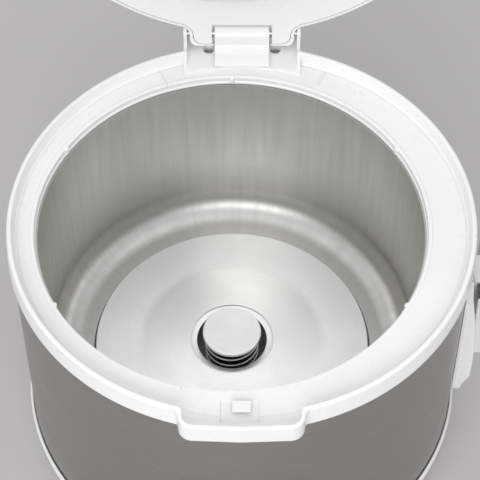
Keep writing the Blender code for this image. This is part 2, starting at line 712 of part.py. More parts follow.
def lid_outer_shell():
    """Domed lid with the rear lugs on the pin, the front tab and the vent well."""
    rim = LID_RIM_Z
    seat = rim + LINING_SHEET + 0.6
    base = rim + LID_STRAIGHT
    outer = dome(LID_R - 0.3, LID_RISE, base)[::-1] + [(LID_R, rim)]
    inner = [(LID_R - LID_EDGE, rim)] + dome(LID_R - LID_EDGE, LID_RISE - LID_WALL, base)
    shell = turned("lid_outer_shell", outer + inner, material=WHITE, frame=LID)
    neck = prism("lid_neck", neck_outline(), "XY", rim, 216, frame=LID)
    lug = [(112, rim), (148.16, rim)] + arc((HINGE_Y, HINGE_Z), LUG_R, -29, 90, 7)
    lug += [(126, 215.5), (112, 215.5)]
    intersect(neck, prism("lid_lugs", lug, "YZ", -60, 60, frame=LID))
    join(shell, neck)
    tab = prism("lid_tab", tab_outline(back=-121), "XY", rim, 240, frame=LID)
    brow = [(-150, 190), (-150, 208), (-143.7, 212), (-138, 216.5), (-128, 219), (-112, 219), (-112, 190)]
    intersect(tab, prism("tab_brow", brow, "YZ", -60, 60, frame=LID))
    join(shell, tab)
    cut(shell, prism("lining_seat", neck_outline(LID_EDGE - GAP), "XY", 190, seat, frame=LID))
    cut(shell, prism("tab_inside", tab_outline(TAB_WALL, -120), "XY", 190, 211, frame=LID))
    cut(shell, post("lining_disc_seat", LID_R - LID_EDGE + GAP, (0, 0), 190, seat))
    cut(shell, box("notch", (-BARREL_HALF - 0.6, NOTCH_Y, 190), (BARREL_HALF + 0.6, 160, 240), frame=LID))
    cut(shell, rod("lug_bore", PIN_R + GAP, (-60, HINGE_Y, HINGE_Z), (60, HINGE_Y, HINGE_Z), frame=LID))
    cut(shell, box("button_window", (-20, -140.6, 200), (20, -124.5, 250), frame=LID))
    outside = VENT_R + 2.6
    inside = VENT_R + 0.6
    well = [(inside, 251), (outside, 251), (outside, 236), (6, 236), (6, 238), (inside, 238)]
    cut(shell, post("vent_opening", VENT_R + 1.6, (0, VENT_Y), 230, 270, SMALL_STEPS))
    join(shell, turned("vent_well", well, at=(0, VENT_Y), frame=LID, steps=SMALL_STEPS))


def lid_lining():
    """Inner cover of the lid, with the round recess for the lift-off plate."""
    rim = LID_RIM_Z
    sheet = rim + LINING_SHEET
    lining = post("lid_lining", LID_R - LID_EDGE, (0, 0), rim, sheet, material=WHITE)
    join(lining, prism("lining_neck", neck_outline(LID_EDGE), "XY", rim, sheet, frame=LID))
    join(lining, prism("lining_tab", tab_outline(TAB_WALL + GAP, -112), "XY", rim, sheet, frame=LID))
    join(lining, post("lining_dish", 116.4, chamber(), rim, LINING_TOP_Z + LINING_SHEET))
    cut(lining, post("plate_recess", 114.2, chamber(), 190, LINING_TOP_Z))
    notch = BARREL_HALF + 1.6
    cut(lining, box("lining_notch", (-notch, NOTCH_Y - 1, 190), (notch, 160, 240), frame=LID))
    for side in (-1, 1):
        near, far = sorted((9.6 * side, 12.4 * side))
        low = (near, HOOK_Y - 2.4, rim + 1)
        high = (far, HOOK_Y + 2.4, HOOK_Z + 2.4)
        join(lining, box(f"hook_post_{side}", low, high, frame=LID))
    left = (-30, HOOK_Y, HOOK_Z)
    right = (30, HOOK_Y, HOOK_Z)
    cut(lining, rod("hook_post_bore", 1.5, left, right, frame=LID, sides=12))
    cut(lining, rod("pin_groove", PIN_R + GAP, (-60, HINGE_Y, HINGE_Z), (60, HINGE_Y, HINGE_Z), frame=LID))
    cut(lining, box("hook_window", (-9, -137.6, 190), (9, -127.6, 240), frame=LID))
    cut(lining, rod("steam_hole", 6.0, (0, VENT_Y, 190), (0, VENT_Y, 240), frame=LID))
    return lining


def inner_lid():
    """Lift-off aluminium plate with its silicone gasket."""
    profile = [(98, 205.6), (102, 203), (110, 203), (110, 202.2), (101.3, 202.2)]
    profile += [(97.5, 204.8), (5.4, 204.8), (5.4, 205.6)]
    plate = turned("inner_lid_plate", profile, chamber(), ALUMINIUM, LID, CHAMBER_STEPS)
    cut(plate, rod("plate_steam_hole", 4.0, (0, VENT_Y, 190), (0, VENT_Y, 240), frame=LID))
    gasket = [(112.5, 203.5), (112.7, 199), (111.4, 196.6), (108.6, 196.6), (107, 199.5)]
    gasket += [(107, 201.9), (110.3, 201.9), (110.3, 203.5)]
    turned("lid_gasket", gasket, chamber(), SILICONE, LID, CHAMBER_STEPS)
    post = [(0, 206.7), (9, 206.7), (9, 205.9), (5.1, 205.9), (5.1, 201), (4, 200), (0, 200)]
    turned("plate_post", post, at=chamber(), material=SILICONE, frame=LID, steps=24)


def steam_vent():
    """Lift-out vent cap with three slots, and the tube to the chamber below it."""
    inside = VENT_R - 1.5
    cap = [(0, 255.4), (16.5, 255.4), (19.2, 254.4), (VENT_R, 252.4), (VENT_R, 243)]
    cap += [(inside, 243), (inside, 252.6), (0, 252.6)]
    vent = turned("steam_vent_cap", cap, at=(0, VENT_Y), material=WHITE, frame=LID, steps=SMALL_STEPS)
    for index in range(3):
        x = 6 * (index - 1)
        low = (x - 1.2, VENT_Y - 8, 240)
        high = (x + 1.2, VENT_Y + 8, 260)
        cut(vent, box(f"steam_slot_{index}", low, high, frame=LID))
    tube = [(8, 235.7), (8, 209.3), (6, 209.3), (6, 235.7)]
    turned("vent_tube", tube, at=(0, VENT_Y), material=SILICONE, frame=LID, steps=SMALL_STEPS)


def latch():
    """Front push button and the hook that it swings clear of the keeper."""
    button = [(-140.2, 206.5), (-140.2, 213.5), (-137.5, 218.4)]
    button += [(-131, 221.5), (-125.1, 222.2), (-125.1, 206.5)]
    body = prism("latch_button", button, "YZ", -19.5, 19.5, GREY_PLASTIC, LID)
    inside = [(-138.2, 200), (-138.2, 212.8), (-136.4, 216.2)]
    inside += [(-130.5, 219.2), (-127.1, 219.8), (-127.1, 200)]
    cut(body, prism("button_inside", inside, "YZ", -17.5, 17.5, frame=LID))
    back = HOOK_Y + 1.5
    front = HOOK_Y - 1.5
    hook = [(front, 192.6), (HOOK_Y + 3.3, 192.6), (HOOK_Y + 3.3, 194.2)]
    hook += [(back, 194.2), (back, HOOK_Z), (front, HOOK_Z)]
    claw = prism("latch_hook", hook, "YZ", -8, 8, STEEL, LID)
    join(claw, rod("hook_hub", 2.6, (-8, HOOK_Y, HOOK_Z), (8, HOOK_Y, HOOK_Z), frame=LID))
    cut(claw, rod("hook_bore", 1.5, (-30, HOOK_Y, HOOK_Z), (30, HOOK_Y, HOOK_Z), frame=LID))
    rod("hook_pin", 1.2, (-14, HOOK_Y, HOOK_Z), (14, HOOK_Y, HOOK_Z), STEEL, LID, sides=12)


def build():
    base_housing()
    rubber_feet()
    outer_shell()
    collar()
    latch_keeper()
    side_bracket()
    paddle_holder()
    front_panel()
    power_inlet()
    inner_liner()
    heating_plate()
    heat_shield(heating_element())
    sensor()
    magnet_lift()
    warmer_band()
    thermal_fuse()
    support_legs()
    cook_lever()
    micro_switch()
    hinge()
    lid_outer_shell()
    lid_lining()
    inner_lid()
    steam_vent()
    latch()


clear_scene()
PARTS = new_collection("rice_cooker")
CUTTERS = new_collection("cutters")
WHITE = make_material("white_plastic", (0.91, 0.91, 0.89), 0.3)
GREY_PLASTIC = make_material("grey_plastic", (0.62, 0.63, 0.63), 0.35)
BLACK_PLASTIC = make_material("black_plastic", (0.03, 0.03, 0.03), 0.45)
IVORY = make_material("ivory_plastic", (0.8, 0.76, 0.66), 0.4)
CLEAR_PLASTIC = make_material("clear_plastic", (0.8, 0.86, 0.86), 0.25)
BLACK_RUBBER = make_material("black_rubber", (0.04, 0.04, 0.04), 0.8)
SILICONE = make_material("silicone", (0.82, 0.83, 0.82), 0.5)
STEEL = make_material("brushed_steel", (0.5, 0.49, 0.47), 0.35, 1.0)
SATIN_STEEL = make_material("satin_steel", (0.55, 0.55, 0.54), 0.4, 1.0)
DARK_STEEL = make_material("dark_steel", (0.18, 0.18, 0.18), 0.5, 1.0)
SPRING_STEEL = make_material("spring_steel", (0.7, 0.7, 0.68), 0.2, 1.0)
ALUMINIUM = make_material("aluminium", (0.8, 0.8, 0.79), 0.3, 1.0)
CAP_METAL = make_material("sensor_metal", (0.84, 0.84, 0.82), 0.35, 1.0)
BRASS = make_material("brass", (0.72, 0.55, 0.27), 0.3, 1.0)
RED = make_material("red_plastic", (0.6, 0.05, 0.03), 0.3)
AMBER = make_material("amber_plastic", (0.8, 0.42, 0.05), 0.3)
LID = add_frame("lid_hinge", (0, HINGE_Y, HINGE_Z), LID_OPEN_DEG)
SWITCH = add_frame("lever_pivot", (0, LEVER_Y, LEVER_Z))
build()
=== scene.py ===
"""Looks of a rice cooker with its lid standing open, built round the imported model.

Lengths are in millimetres in the shape functions and are scaled on the way into the mesh.
Pieces of the lid are drawn with the lid shut, then turned with it about the hinge pin.
"""

import json
import math

import bmesh
import bpy
from mathutils import Matrix, Vector


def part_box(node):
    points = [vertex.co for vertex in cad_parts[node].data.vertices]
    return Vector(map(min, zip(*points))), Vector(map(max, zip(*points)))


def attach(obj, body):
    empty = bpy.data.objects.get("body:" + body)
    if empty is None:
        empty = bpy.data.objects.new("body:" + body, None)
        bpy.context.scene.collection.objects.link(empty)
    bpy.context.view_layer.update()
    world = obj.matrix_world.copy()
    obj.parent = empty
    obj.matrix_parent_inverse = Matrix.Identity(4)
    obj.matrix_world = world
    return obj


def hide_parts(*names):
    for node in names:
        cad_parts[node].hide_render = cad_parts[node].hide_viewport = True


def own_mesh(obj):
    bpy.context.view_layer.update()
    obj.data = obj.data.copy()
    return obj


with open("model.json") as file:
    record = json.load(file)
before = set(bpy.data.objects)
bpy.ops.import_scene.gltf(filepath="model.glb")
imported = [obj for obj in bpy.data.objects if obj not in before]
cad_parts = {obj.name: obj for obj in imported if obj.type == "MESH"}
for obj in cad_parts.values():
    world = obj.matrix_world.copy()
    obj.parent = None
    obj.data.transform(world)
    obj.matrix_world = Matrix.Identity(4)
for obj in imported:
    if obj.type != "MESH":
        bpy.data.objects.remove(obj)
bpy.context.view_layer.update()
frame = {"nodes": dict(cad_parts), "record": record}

MM = 0.001
RING = 240
SMALL_RING = 96
ABOVE_COLLAR = 230
BELOW_LID = 190
ABOVE_LID = 240

# Casing
COLLAR_R = 136.0
CREST_INNER_R = 132.5
CREST_Z = 200.0
BAND_Z = 192.5
SKIRT_Z = 186.4
SHELL_R = 134.8
SHELL_TOP_Z = 189.6
SHELL_BOTTOM_Z = 30.3

# Cooking chamber
CHAMBER = (-6.1, 0.0)
MOUTH_R = 114.4
NECK_Z = 187.6
NUBS = 6
NUB_R = 1.9
RIB_DEG = 23.5
RIB_AT_R = 122.5
LINER_R = 113.0
LINER_FLOOR_Z = 68.0
LINER_CORNER_R = 18.0
PLATE_R = 86.5
PLATE_SEAT_Z = 70.8
PLATE_CROWN_Z = 74.0
PLATE_HOLE_R = 22.0
SENSOR_R = 18.4
SENSOR_TOP_Z = 82.3
SPRING_FOOT_Z = 59.3
CAP_UNDERSIDE_Z = SENSOR_TOP_Z - 2.1
COIL_R = 16.6
COIL_WIRE_R = 0.75
COIL_TURNS = 4
COIL_RISE = 19.0

# Front tab, rear hinge and lid
TAB_HALF = 34.3
TAB_Y = -143.7
TAB_WALL = 2.6
HINGE_Y = 141.0
HINGE_Z = 205.0
LID_OPEN_DEG = 98.0
PIN_R = 2.5
PIN_BORE_R = PIN_R + 0.3
LUG_R = 8.2
LUG_HALF = 32.5
BARREL_R = 7.3
BARREL_HALF = 17.0
EAR_R = 5.8
EAR_HALF = 36.4
EAR_INSIDE = 34.2
TOWER_FLOOR_Z = 194.5
TOWER_BOTTOM_Z = 182.0
SCREW_X = 20.8
SCREW_Y = 136.4
WELL_R = 3.3
LID_R = 138.8
LID_RIM_Z = 201.0
LID_RISE = 47.0
LID_STRAIGHT = 5.0
LID_WALL = 2.5
LID_EDGE = 2.4
LINING_SHEET = 2.0
LINING_TOP_Z = 207.0
NOTCH_Y = 133.1
HOOK_Y = -131.9
HOOK_Z = 208.5
VENT_Y = 40.0
VENT_R = 20.0
KNOB_Z = 56.0

# Control panel, inlet and side bracket
LAMP_X = 14
LAMP_Z = 88
THROUGH_FRONT = (-150, -120)
INLET_PINS = {"live": (-5, 53), "neutral": (5, 53), "earth": (0, 58.5)}
FIN_INNER_Y = 24.9
FIN_OUTER_Y = 26.4
HOOK_BORE_R = 1.5

# Camera, in metres
LENS_MM = 136.03
SENSOR_MM = 36.0
EYE = (0.0, -0.64479, 1.02684)
AIM = (-0.0010, 0.00117, 0.17559)

# Smoothness of rounded corners
FILLET_STEPS = 4
EDGE_SEGMENTS = 3
SMOOTH_BELOW_DEG = 38.0


# ---------------------------------------------------------------- shape helpers

def scaled(point):
    return Vector(point) * MM


def lid_turn():
    """From the shut lid's coordinates to those of the open lid."""
    pin = Matrix.Translation(scaled((0, HINGE_Y, HINGE_Z)))
    return pin @ Matrix.Rotation(math.radians(-LID_OPEN_DEG), 4, "X") @ pin.inverted()


def new_object(name, bm):
    """Close up a bmesh, turn its faces outwards and make it an object."""
    bmesh.ops.recalc_face_normals(bm, faces=bm.faces)
    mesh = bpy.data.meshes.new(name)
    bm.to_mesh(mesh)
    bm.free()
    obj = bpy.data.objects.new(name, mesh)
    bpy.context.scene.collection.objects.link(obj)
    return obj


def arc(middle, radius, start_deg, end_deg, steps):
    points = []
    for step in range(steps + 1):
        angle = math.radians(start_deg + (end_deg - start_deg) * step / steps)
        points.append((middle[0] + radius * math.cos(angle), middle[1] + radius * math.sin(angle)))
    return points


def rounded(corners, steps=5):
    """An outline through (u, v, radius) corners, each rounded by its radius; (u, v) stays sharp."""
    outline = []
    count = len(corners)
    for index, (u, v, *given) in enumerate(corners):
        radius = given[0] if given else 0.0
        corner = Vector((u, v))
        if radius <= 0.0:
            outline.append((u, v))
            continue
        before = (Vector(corners[index - 1][:2]) - corner).normalized()
        after = (Vector(corners[(index + 1) % count][:2]) - corner).normalized()
        half = before.angle(after) / 2
        reach = radius / math.tan(half)
        middle = corner + (before + after).normalized() * (radius / math.sin(half))
        first = corner + before * reach - middle
        last = corner + after * reach - middle
        for step in range(steps + 1):
            ray = first.slerp(last, step / steps)
            outline.append(tuple(middle + ray.normalized() * radius))
    return outline


def lathe(name, corners, at=(0.0, 0.0), steps=RING):
    """Turn a closed outline of (radius, height, rounding) corners about an upright axis."""
    outline = rounded(corners, FILLET_STEPS)
    bm = bmesh.new()
    rings = []
    for radius, height in outline:
        if radius < 1e-6:
            rings.append([bm.verts.new(scaled((at[0], at[1], height)))])
            continue
        ring = []
        for step in range(steps):
            angle = 2 * math.pi * step / steps
            x = at[0] + radius * math.cos(angle)
            y = at[1] + radius * math.sin(angle)
            ring.append(bm.verts.new(scaled((x, y, height))))
        rings.append(ring)
    for index, ring in enumerate(rings):
        other = rings[(index + 1) % len(rings)]
        if len(ring) == 1 and len(other) == 1:
            continue
        for step in range(steps):
            after = (step + 1) % steps
            corners_here = [ring[step % len(ring)], other[step % len(other)]]
            corners_here += [other[after % len(other)], ring[after % len(ring)]]
            face = list(dict.fromkeys(corners_here))
            bm.faces.new(face)
    return new_object(name, bm)


PLANES = {
    "XY": lambda u, v, w: (u, v, w),
    "XZ": lambda u, v, w: (u, w, v),
    "YZ": lambda u, v, w: (w, u, v),
}


def bevelled(bm, edges, radius, segments):
    bmesh.ops.bevel(bm, geom=edges, offset=radius * MM, segments=segments, profile=0.5, affect="EDGES")


def slab(name, outline, plane, low, high, edge=0.0):
    """A prism between two levels; edge rounds the rims of its two caps."""
    place = PLANES[plane]
    bm = bmesh.new()
    lower = [bm.verts.new(scaled(place(u, v, low))) for u, v in outline]
    upper = [bm.verts.new(scaled(place(u, v, high))) for u, v in outline]
    caps = [bm.faces.new(lower), bm.faces.new(upper)]
    for index in range(len(outline)):
        after = (index + 1) % len(outline)
        bm.faces.new([lower[index], lower[after], upper[after], upper[index]])
    if edge:
        rims = [e for cap in caps for e in cap.edges]
        bmesh.ops.recalc_face_normals(bm, faces=bm.faces)
        bevelled(bm, rims, edge, EDGE_SEGMENTS)
    return new_object(name, bm)


def block(name, low, high, edge=0.0, segments=EDGE_SEGMENTS):
    """A box with all of its edges rounded."""
    bm = bmesh.new()
    bmesh.ops.create_cube(bm, size=1.0)
    size = [(h - l) * MM for l, h in zip(low, high)]
    middle = [(h + l) / 2 * MM for l, h in zip(low, high)]
    bm.transform(Matrix.Translation(middle) @ Matrix.Diagonal((*size, 1.0)))
    if edge:
        bevelled(bm, list(bm.edges), edge, segments)
    return new_object(name, bm)


def bar(name, radius, start, end, edge=0.0, steps=SMALL_RING):
    """A round bar between two points, its rims rounded."""
    start = Vector(start)
    end = Vector(end)
    length = (end - start).length
    corners = [(0, 0), (radius, 0, edge), (radius, length, edge), (0, length)]
    obj = lathe(name, corners, steps=steps)
    turn = (end - start).to_track_quat("Z", "Y").to_matrix().to_4x4()
    obj.data.transform(Matrix.Translation(scaled(start)) @ turn)
    return obj


def wire(name, points, radius):
    """A round wire through the points, as a mesh with closed ends."""
    curve = bpy.data.curves.new(name, "CURVE")
    curve.dimensions = "3D"
    curve.bevel_depth = radius * MM
    curve.bevel_resolution = 4
    curve.use_fill_caps = True
    spline = curve.splines.new("POLY")
    spline.points.add(len(points) - 1)
    for spot, point in zip(spline.points, points):
        spot.co = (*scaled(point), 1.0)
    holder = bpy.data.objects.new(name, curve)
    bpy.context.scene.collection.objects.link(holder)
    mesh = baked_mesh(holder)
    bpy.data.objects.remove(holder)
    mesh.name = name
    obj = bpy.data.objects.new(name, mesh)
    bpy.context.scene.collection.objects.link(obj)
    return obj


def baked_mesh(obj):
    """The object's mesh with its modifiers applied."""
    graph = bpy.context.evaluated_depsgraph_get()
    graph.update()
    return bpy.data.meshes.new_from_object(obj.evaluated_get(graph), depsgraph=graph)


def combine(obj, operation, tools):
    for tool in tools:
        step = obj.modifiers.new(tool.name, "BOOLEAN")
        step.operation = operation
        step.solver = "EXACT"
        step.object = tool
    obj.data = baked_mesh(obj)
    obj.modifiers.clear()
    for tool in tools:
        bpy.data.objects.remove(tool)
    return obj


def join(obj, *tools):
    return combine(obj, "UNION", tools)


def cut(obj, *tools):
    return combine(obj, "DIFFERENCE", tools)


def intersect(obj, *tools):
    return combine(obj, "INTERSECT", tools)


def finished(obj, material):
    """Shade smoothly between fillets and give the piece its material."""
    mesh = obj.data
    mesh.materials.clear()
    mesh.materials.append(material)
    mesh.shade_smooth()
    mesh.set_sharp_from_angle(angle=math.radians(SMOOTH_BELOW_DEG))
    weigh = obj.modifiers.new("flat faces stay flat", "WEIGHTED_NORMAL")
    weigh.mode = "FACE_AREA"
    weigh.keep_sharp = True
    return obj


def piece(obj, body, nodes, material, on_lid=False):
    """Finish a piece and let it stand for its CAD nodes."""
    if on_lid:
        obj.data.transform(lid_turn())
    finished(obj, material)
    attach(obj, body)
    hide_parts(*nodes)
    return obj


# ---------------------------------------------------------------- materials

class Nodes:
    """Small helper that adds nodes to a material and links them."""

    def __init__(self, name, **shader):
        self.material = bpy.data.materials.new(name)
        self.material.use_nodes = True
        self.tree = self.material.node_tree
        self.shader = self.tree.nodes["Principled BSDF"]
        for socket, value in shader.items():
            self.shader.inputs[socket.replace("_", " ")].default_value = value
        self.places = self.add("ShaderNodeTexCoord").outputs["Object"]

    def add(self, kind, **settings):
        node = self.tree.nodes.new(kind)
        for key, value in settings.items():
            setattr(node, key, value)
        return node

    def feed(self, socket, value):
        if isinstance(value, bpy.types.NodeSocket):
            self.tree.links.new(value, socket)
        else:
            socket.default_value = value

    def math(self, operation, *values):
        node = self.add("ShaderNodeMath", operation=operation)
        for socket, value in zip(node.inputs, values):
            self.feed(socket, value)
        return node.outputs[0]

    def noise(self, scale, detail=3.0, roughness=0.5, at=None):
        node = self.add("ShaderNodeTexNoise")
        self.feed(node.inputs["Vector"], self.places if at is None else at)
        self.feed(node.inputs["Scale"], scale)
        self.feed(node.inputs["Detail"], detail)
        self.feed(node.inputs["Roughness"], roughness)
        return node.outputs["Fac"]

    def span(self, value, low, high, start=0.3, end=0.7):
        """Stretch value from start..end to low..high."""
        node = self.add("ShaderNodeMapRange")
        for socket, number in zip(node.inputs, (value, start, end, low, high)):
            self.feed(socket, number)
        return node.outputs[0]

    def mixed(self, share, first, second):
        """Blend between two plain colours."""
        node = self.add("ShaderNodeMix", data_type="RGBA")
        self.feed(node.inputs["Factor"], share)
        node.inputs["A"].default_value = (*first, 1.0)
        node.inputs["B"].default_value = (*second, 1.0)
        return node.outputs["Result"]

    def round_places(self, at, around, along):
        """Stretched (turn, radius, height) coordinates about an upright axis, and the radius itself."""
        split = self.add("ShaderNodeSeparateXYZ")
        self.feed(split.inputs[0], self.places)
        x = self.math("SUBTRACT", split.outputs["X"], at[0] * MM)
        y = self.math("SUBTRACT", split.outputs["Y"], at[1] * MM)
        turn = self.math("ARCTAN2", y, x)
        squares = self.math("ADD", self.math("MULTIPLY", x, x), self.math("MULTIPLY", y, y))
        wide = self.math("POWER", squares, 0.5)
        joined = self.add("ShaderNodeCombineXYZ")
        self.feed(joined.inputs["X"], self.math("MULTIPLY", turn, around))
        self.feed(joined.inputs["Y"], self.math("MULTIPLY", wide, along))
        self.feed(joined.inputs["Z"], self.math("MULTIPLY", split.outputs["Z"], along))
        return joined.outputs[0], wide

    def bump(self, height, depth_mm, strength=1.0, under=None):
        node = self.add("ShaderNodeBump")
        node.inputs["Strength"].default_value = strength
        node.inputs["Distance"].default_value = depth_mm * MM
        self.feed(node.inputs["Height"], height)
        if under is not None:
            self.feed(node.inputs["Normal"], under)
        return node.outputs["Normal"]

    def soft_edges(self, radius_mm):
        node = self.add("ShaderNodeBevel", samples=6)
        node.inputs["Radius"].default_value = radius_mm * MM
        return node.outputs["Normal"]

    def set(self, **values):
        for socket, value in values.items():
            self.feed(self.shader.inputs[socket.replace("_", " ")], value)
        return self.material


def moulded(name, color, worn, roughness, grain_mm=0.02, edge_mm=0.0):
    """Moulded plastic: faint flow shading, fine skin grain, handling marks in the gloss."""
    m = Nodes(name)
    flow = m.noise(14.0, 2.0)
    dust = m.noise(160.0, 5.0, 0.65)
    tint = m.mixed(m.span(flow, 0.0, 1.0), color, worn)
    rough = m.math("ADD", m.span(dust, roughness - 0.05, roughness + 0.07), m.span(flow, -0.02, 0.02))
    under = m.soft_edges(edge_mm) if edge_mm else None
    skin = m.bump(m.noise(900.0, 2.0), grain_mm, 0.35, under)
    wave = m.bump(m.noise(35.0, 1.0), 0.08, 0.12, skin)
    return m.set(Base_Color=tint, Roughness=rough, Normal=wave)


def hairline(name, color, dark, roughness, at=(0, 0), around=3.0, along=2600.0, depth_mm=0.02):
    """Steel brushed round an upright axis: long hairlines along the turn, fine across it."""
    m = Nodes(name, Metallic=1.0)
    places, _ = m.round_places(at, around, along)
    lines = m.noise(1.0, 4.0, 0.7, places)
    cloud = m.noise(22.0, 3.0)
    tint = m.mixed(m.span(lines, 0.0, 1.0, 0.35, 0.65), color, dark)
    rough = m.math("ADD", m.span(lines, roughness - 0.06, roughness + 0.08), m.span(cloud, -0.03, 0.03))
    return m.set(Base_Color=tint, Roughness=rough, Normal=m.bump(lines, depth_mm, 0.5))


def drawn_steel(name, color, dark, roughness, at):
    """Deep-drawn satin steel: upright draw streaks, soft clouds and a fine tooth."""
    m = Nodes(name, Metallic=1.0)
    places, _ = m.round_places(at, 26.0, 9.0)
    streaks = m.noise(1.0, 4.0, 0.6, places)
    cloud = m.noise(16.0, 2.0)
    tooth = m.noise(1500.0, 2.0)
    tint = m.mixed(m.span(streaks, 0.0, 1.0, 0.32, 0.68), color, dark)
    rough = m.math("ADD", m.span(streaks, roughness - 0.05, roughness + 0.06), m.span(cloud, -0.03, 0.03))
    relief = m.bump(streaks, 0.06, 0.12)
    return m.set(Base_Color=tint, Roughness=rough, Normal=m.bump(tooth, 0.02, 0.3, relief))


def turned_metal(name, color, dark, roughness, at, pitch_mm, depth_mm, anisotropic=0.0):
    """Aluminium faced on a lathe: tool rings with a slightly uneven pitch."""
    m = Nodes(name, Metallic=1.0, Anisotropic=anisotropic)
    places, wide = m.round_places(at, 1.5, 60.0)
    drift = m.math("MULTIPLY", m.noise(1.0, 2.0, 0.5, places), 2.5)
    phase = m.math("ADD", m.math("MULTIPLY", wide, 2 * math.pi / (pitch_mm * MM)), drift)
    rings = m.math("SINE", phase)
    fine, _ = m.round_places(at, 2.0, 3400.0)
    scratches = m.noise(1.0, 3.0, 0.6, fine)
    patina = m.noise(30.0, 4.0, 0.6)
    wear = m.math("ADD", m.math("MULTIPLY", scratches, 0.6), m.math("MULTIPLY", patina, 0.4))
    tint = m.mixed(m.span(wear, 0.0, 1.0, 0.38, 0.62), color, dark)
    uneven = m.span(scratches, roughness - 0.05, roughness + 0.06)
    rough = m.math("ADD", uneven, m.span(patina, -0.03, 0.04))
    if anisotropic:
        tangent = m.add("ShaderNodeTangent", direction_type="RADIAL", axis="Z")
        m.feed(m.shader.inputs["Tangent"], tangent.outputs[0])
    relief = m.bump(rings, depth_mm, 0.5)
    return m.set(Base_Color=tint, Roughness=rough, Normal=m.bump(scratches, 0.015, 0.5, relief))


def plain_metal(name, color, dark, roughness, scale=220.0):
    """Bar, wire and pressed metal: mottled tone and a light tooth."""
    m = Nodes(name, Metallic=1.0)
    mottle = m.noise(scale, 4.0, 0.6)
    tooth = m.noise(scale * 6, 2.0)
    tint = m.mixed(m.span(mottle, 0.0, 1.0), color, dark)
    rough = m.span(mottle, roughness - 0.08, roughness + 0.1)
    return m.set(Base_Color=tint, Roughness=rough, Normal=m.bump(tooth, 0.02, 0.4))


def frosted(name, color, edge_color, roughness=0.22):
    """Translucent moulded plastic, a little cloudy."""
    m = Nodes(name, IOR=1.49, Transmission_Weight=0.15)
    cloud = m.noise(40.0, 3.0)
    grain = m.noise(700.0, 2.0)
    tint = m.mixed(m.span(cloud, 0.0, 1.0), color, edge_color)
    rough = m.span(cloud, roughness - 0.04, roughness + 0.06)
    return m.set(Base_Color=tint, Roughness=rough, Normal=m.bump(grain, 0.02, 0.4))


def rubbery(name, color, dark, roughness=0.6):
    """Rubber and soft insulation: mottled, matt, with a fine skin."""
    m = Nodes(name, Sheen_Weight=0.15)
    mottle = m.noise(90.0, 4.0, 0.6)
    tint = m.mixed(m.span(mottle, 0.0, 1.0), color, dark)
    rough = m.span(mottle, roughness - 0.06, roughness + 0.08)
    skin = m.bump(m.noise(1200.0, 3.0), 0.04, 0.5)
    return m.set(Base_Color=tint, Roughness=rough, Normal=skin)


WHITE = moulded("white_moulding", (0.83, 0.83, 0.815), (0.79, 0.79, 0.77), 0.3, edge_mm=0.45)
GREY = moulded("grey_moulding", (0.44, 0.45, 0.46), (0.40, 0.41, 0.42), 0.36, edge_mm=0.3)
BLACK = moulded("black_moulding", (0.022, 0.022, 0.023), (0.035, 0.034, 0.033), 0.42, grain_mm=0.04)
IVORY = moulded("ivory_moulding", (0.68, 0.62, 0.47), (0.6, 0.55, 0.42), 0.4)
# Painted reflection: the shell's base colour is set darker than bare steel, to paint in the dark reflection
# of a dark table and shaded room. The hairline tone changes are random.
SHELL = hairline("brushed_shell", (0.38, 0.368, 0.34), (0.345, 0.334, 0.308), 0.38, depth_mm=0.008)
LINER = drawn_steel("drawn_liner", (0.60, 0.595, 0.57), (0.565, 0.56, 0.535), 0.38, CHAMBER)
PLATE = turned_metal(
    "faced_plate", (0.93, 0.935, 0.92), (0.87, 0.875, 0.86), 0.42, CHAMBER, 1.55, 0.02, anisotropic=0.3)
CAP = turned_metal("sensor_disc", (0.86, 0.86, 0.84), (0.78, 0.78, 0.76), 0.36, CHAMBER, 0.9, 0.012)
LID_PLATE = hairline("lid_plate_metal", (0.80, 0.80, 0.79), (0.72, 0.72, 0.71), 0.34, CHAMBER, 2.0, 2200.0)
STEEL = plain_metal("pressed_steel", (0.50, 0.49, 0.47), (0.40, 0.39, 0.37), 0.34)
SPRING = plain_metal("spring_wire", (0.72, 0.72, 0.70), (0.58, 0.58, 0.56), 0.22, 500.0)
DARK = plain_metal("dark_steel", (0.16, 0.16, 0.16), (0.10, 0.10, 0.10), 0.5)
BRASS = plain_metal("brass", (0.72, 0.53, 0.24), (0.55, 0.38, 0.16), 0.28)
RUBBER = rubbery("black_rubber", (0.03, 0.03, 0.03), (0.05, 0.048, 0.045))
SILICONE = rubbery("silicone", (0.72, 0.73, 0.72), (0.64, 0.65, 0.64), 0.45)
POCKET = frosted("frosted_pocket", (0.84, 0.85, 0.84), (0.78, 0.79, 0.78))
RED_LENS = frosted("red_lens", (0.55, 0.04, 0.03), (0.42, 0.02, 0.02), 0.12)
AMBER_LENS = frosted("amber_lens", (0.80, 0.36, 0.04), (0.68, 0.28, 0.03), 0.12)
RED_WIRE = rubbery("red_insulation", (0.5, 0.04, 0.03), (0.42, 0.03, 0.02), 0.4)

CAD_FINISH = {
    "white_plastic": WHITE,
    "grey_plastic": GREY,
    "black_plastic": BLACK,
    "ivory_plastic": IVORY,
    "clear_plastic": POCKET,
    "black_rubber": RUBBER,
    "silicone": SILICONE,
    "brushed_steel": STEEL,
    "satin_steel": LINER,
    "dark_steel": DARK,
    "spring_steel": SPRING,
    "aluminium": LID_PLATE,
    "sensor_metal": CAP,
    "brass": BRASS,
    "red_plastic": RED_WIRE,
    "amber_plastic": AMBER_LENS,
}


# ---------------------------------------------------------------- casing

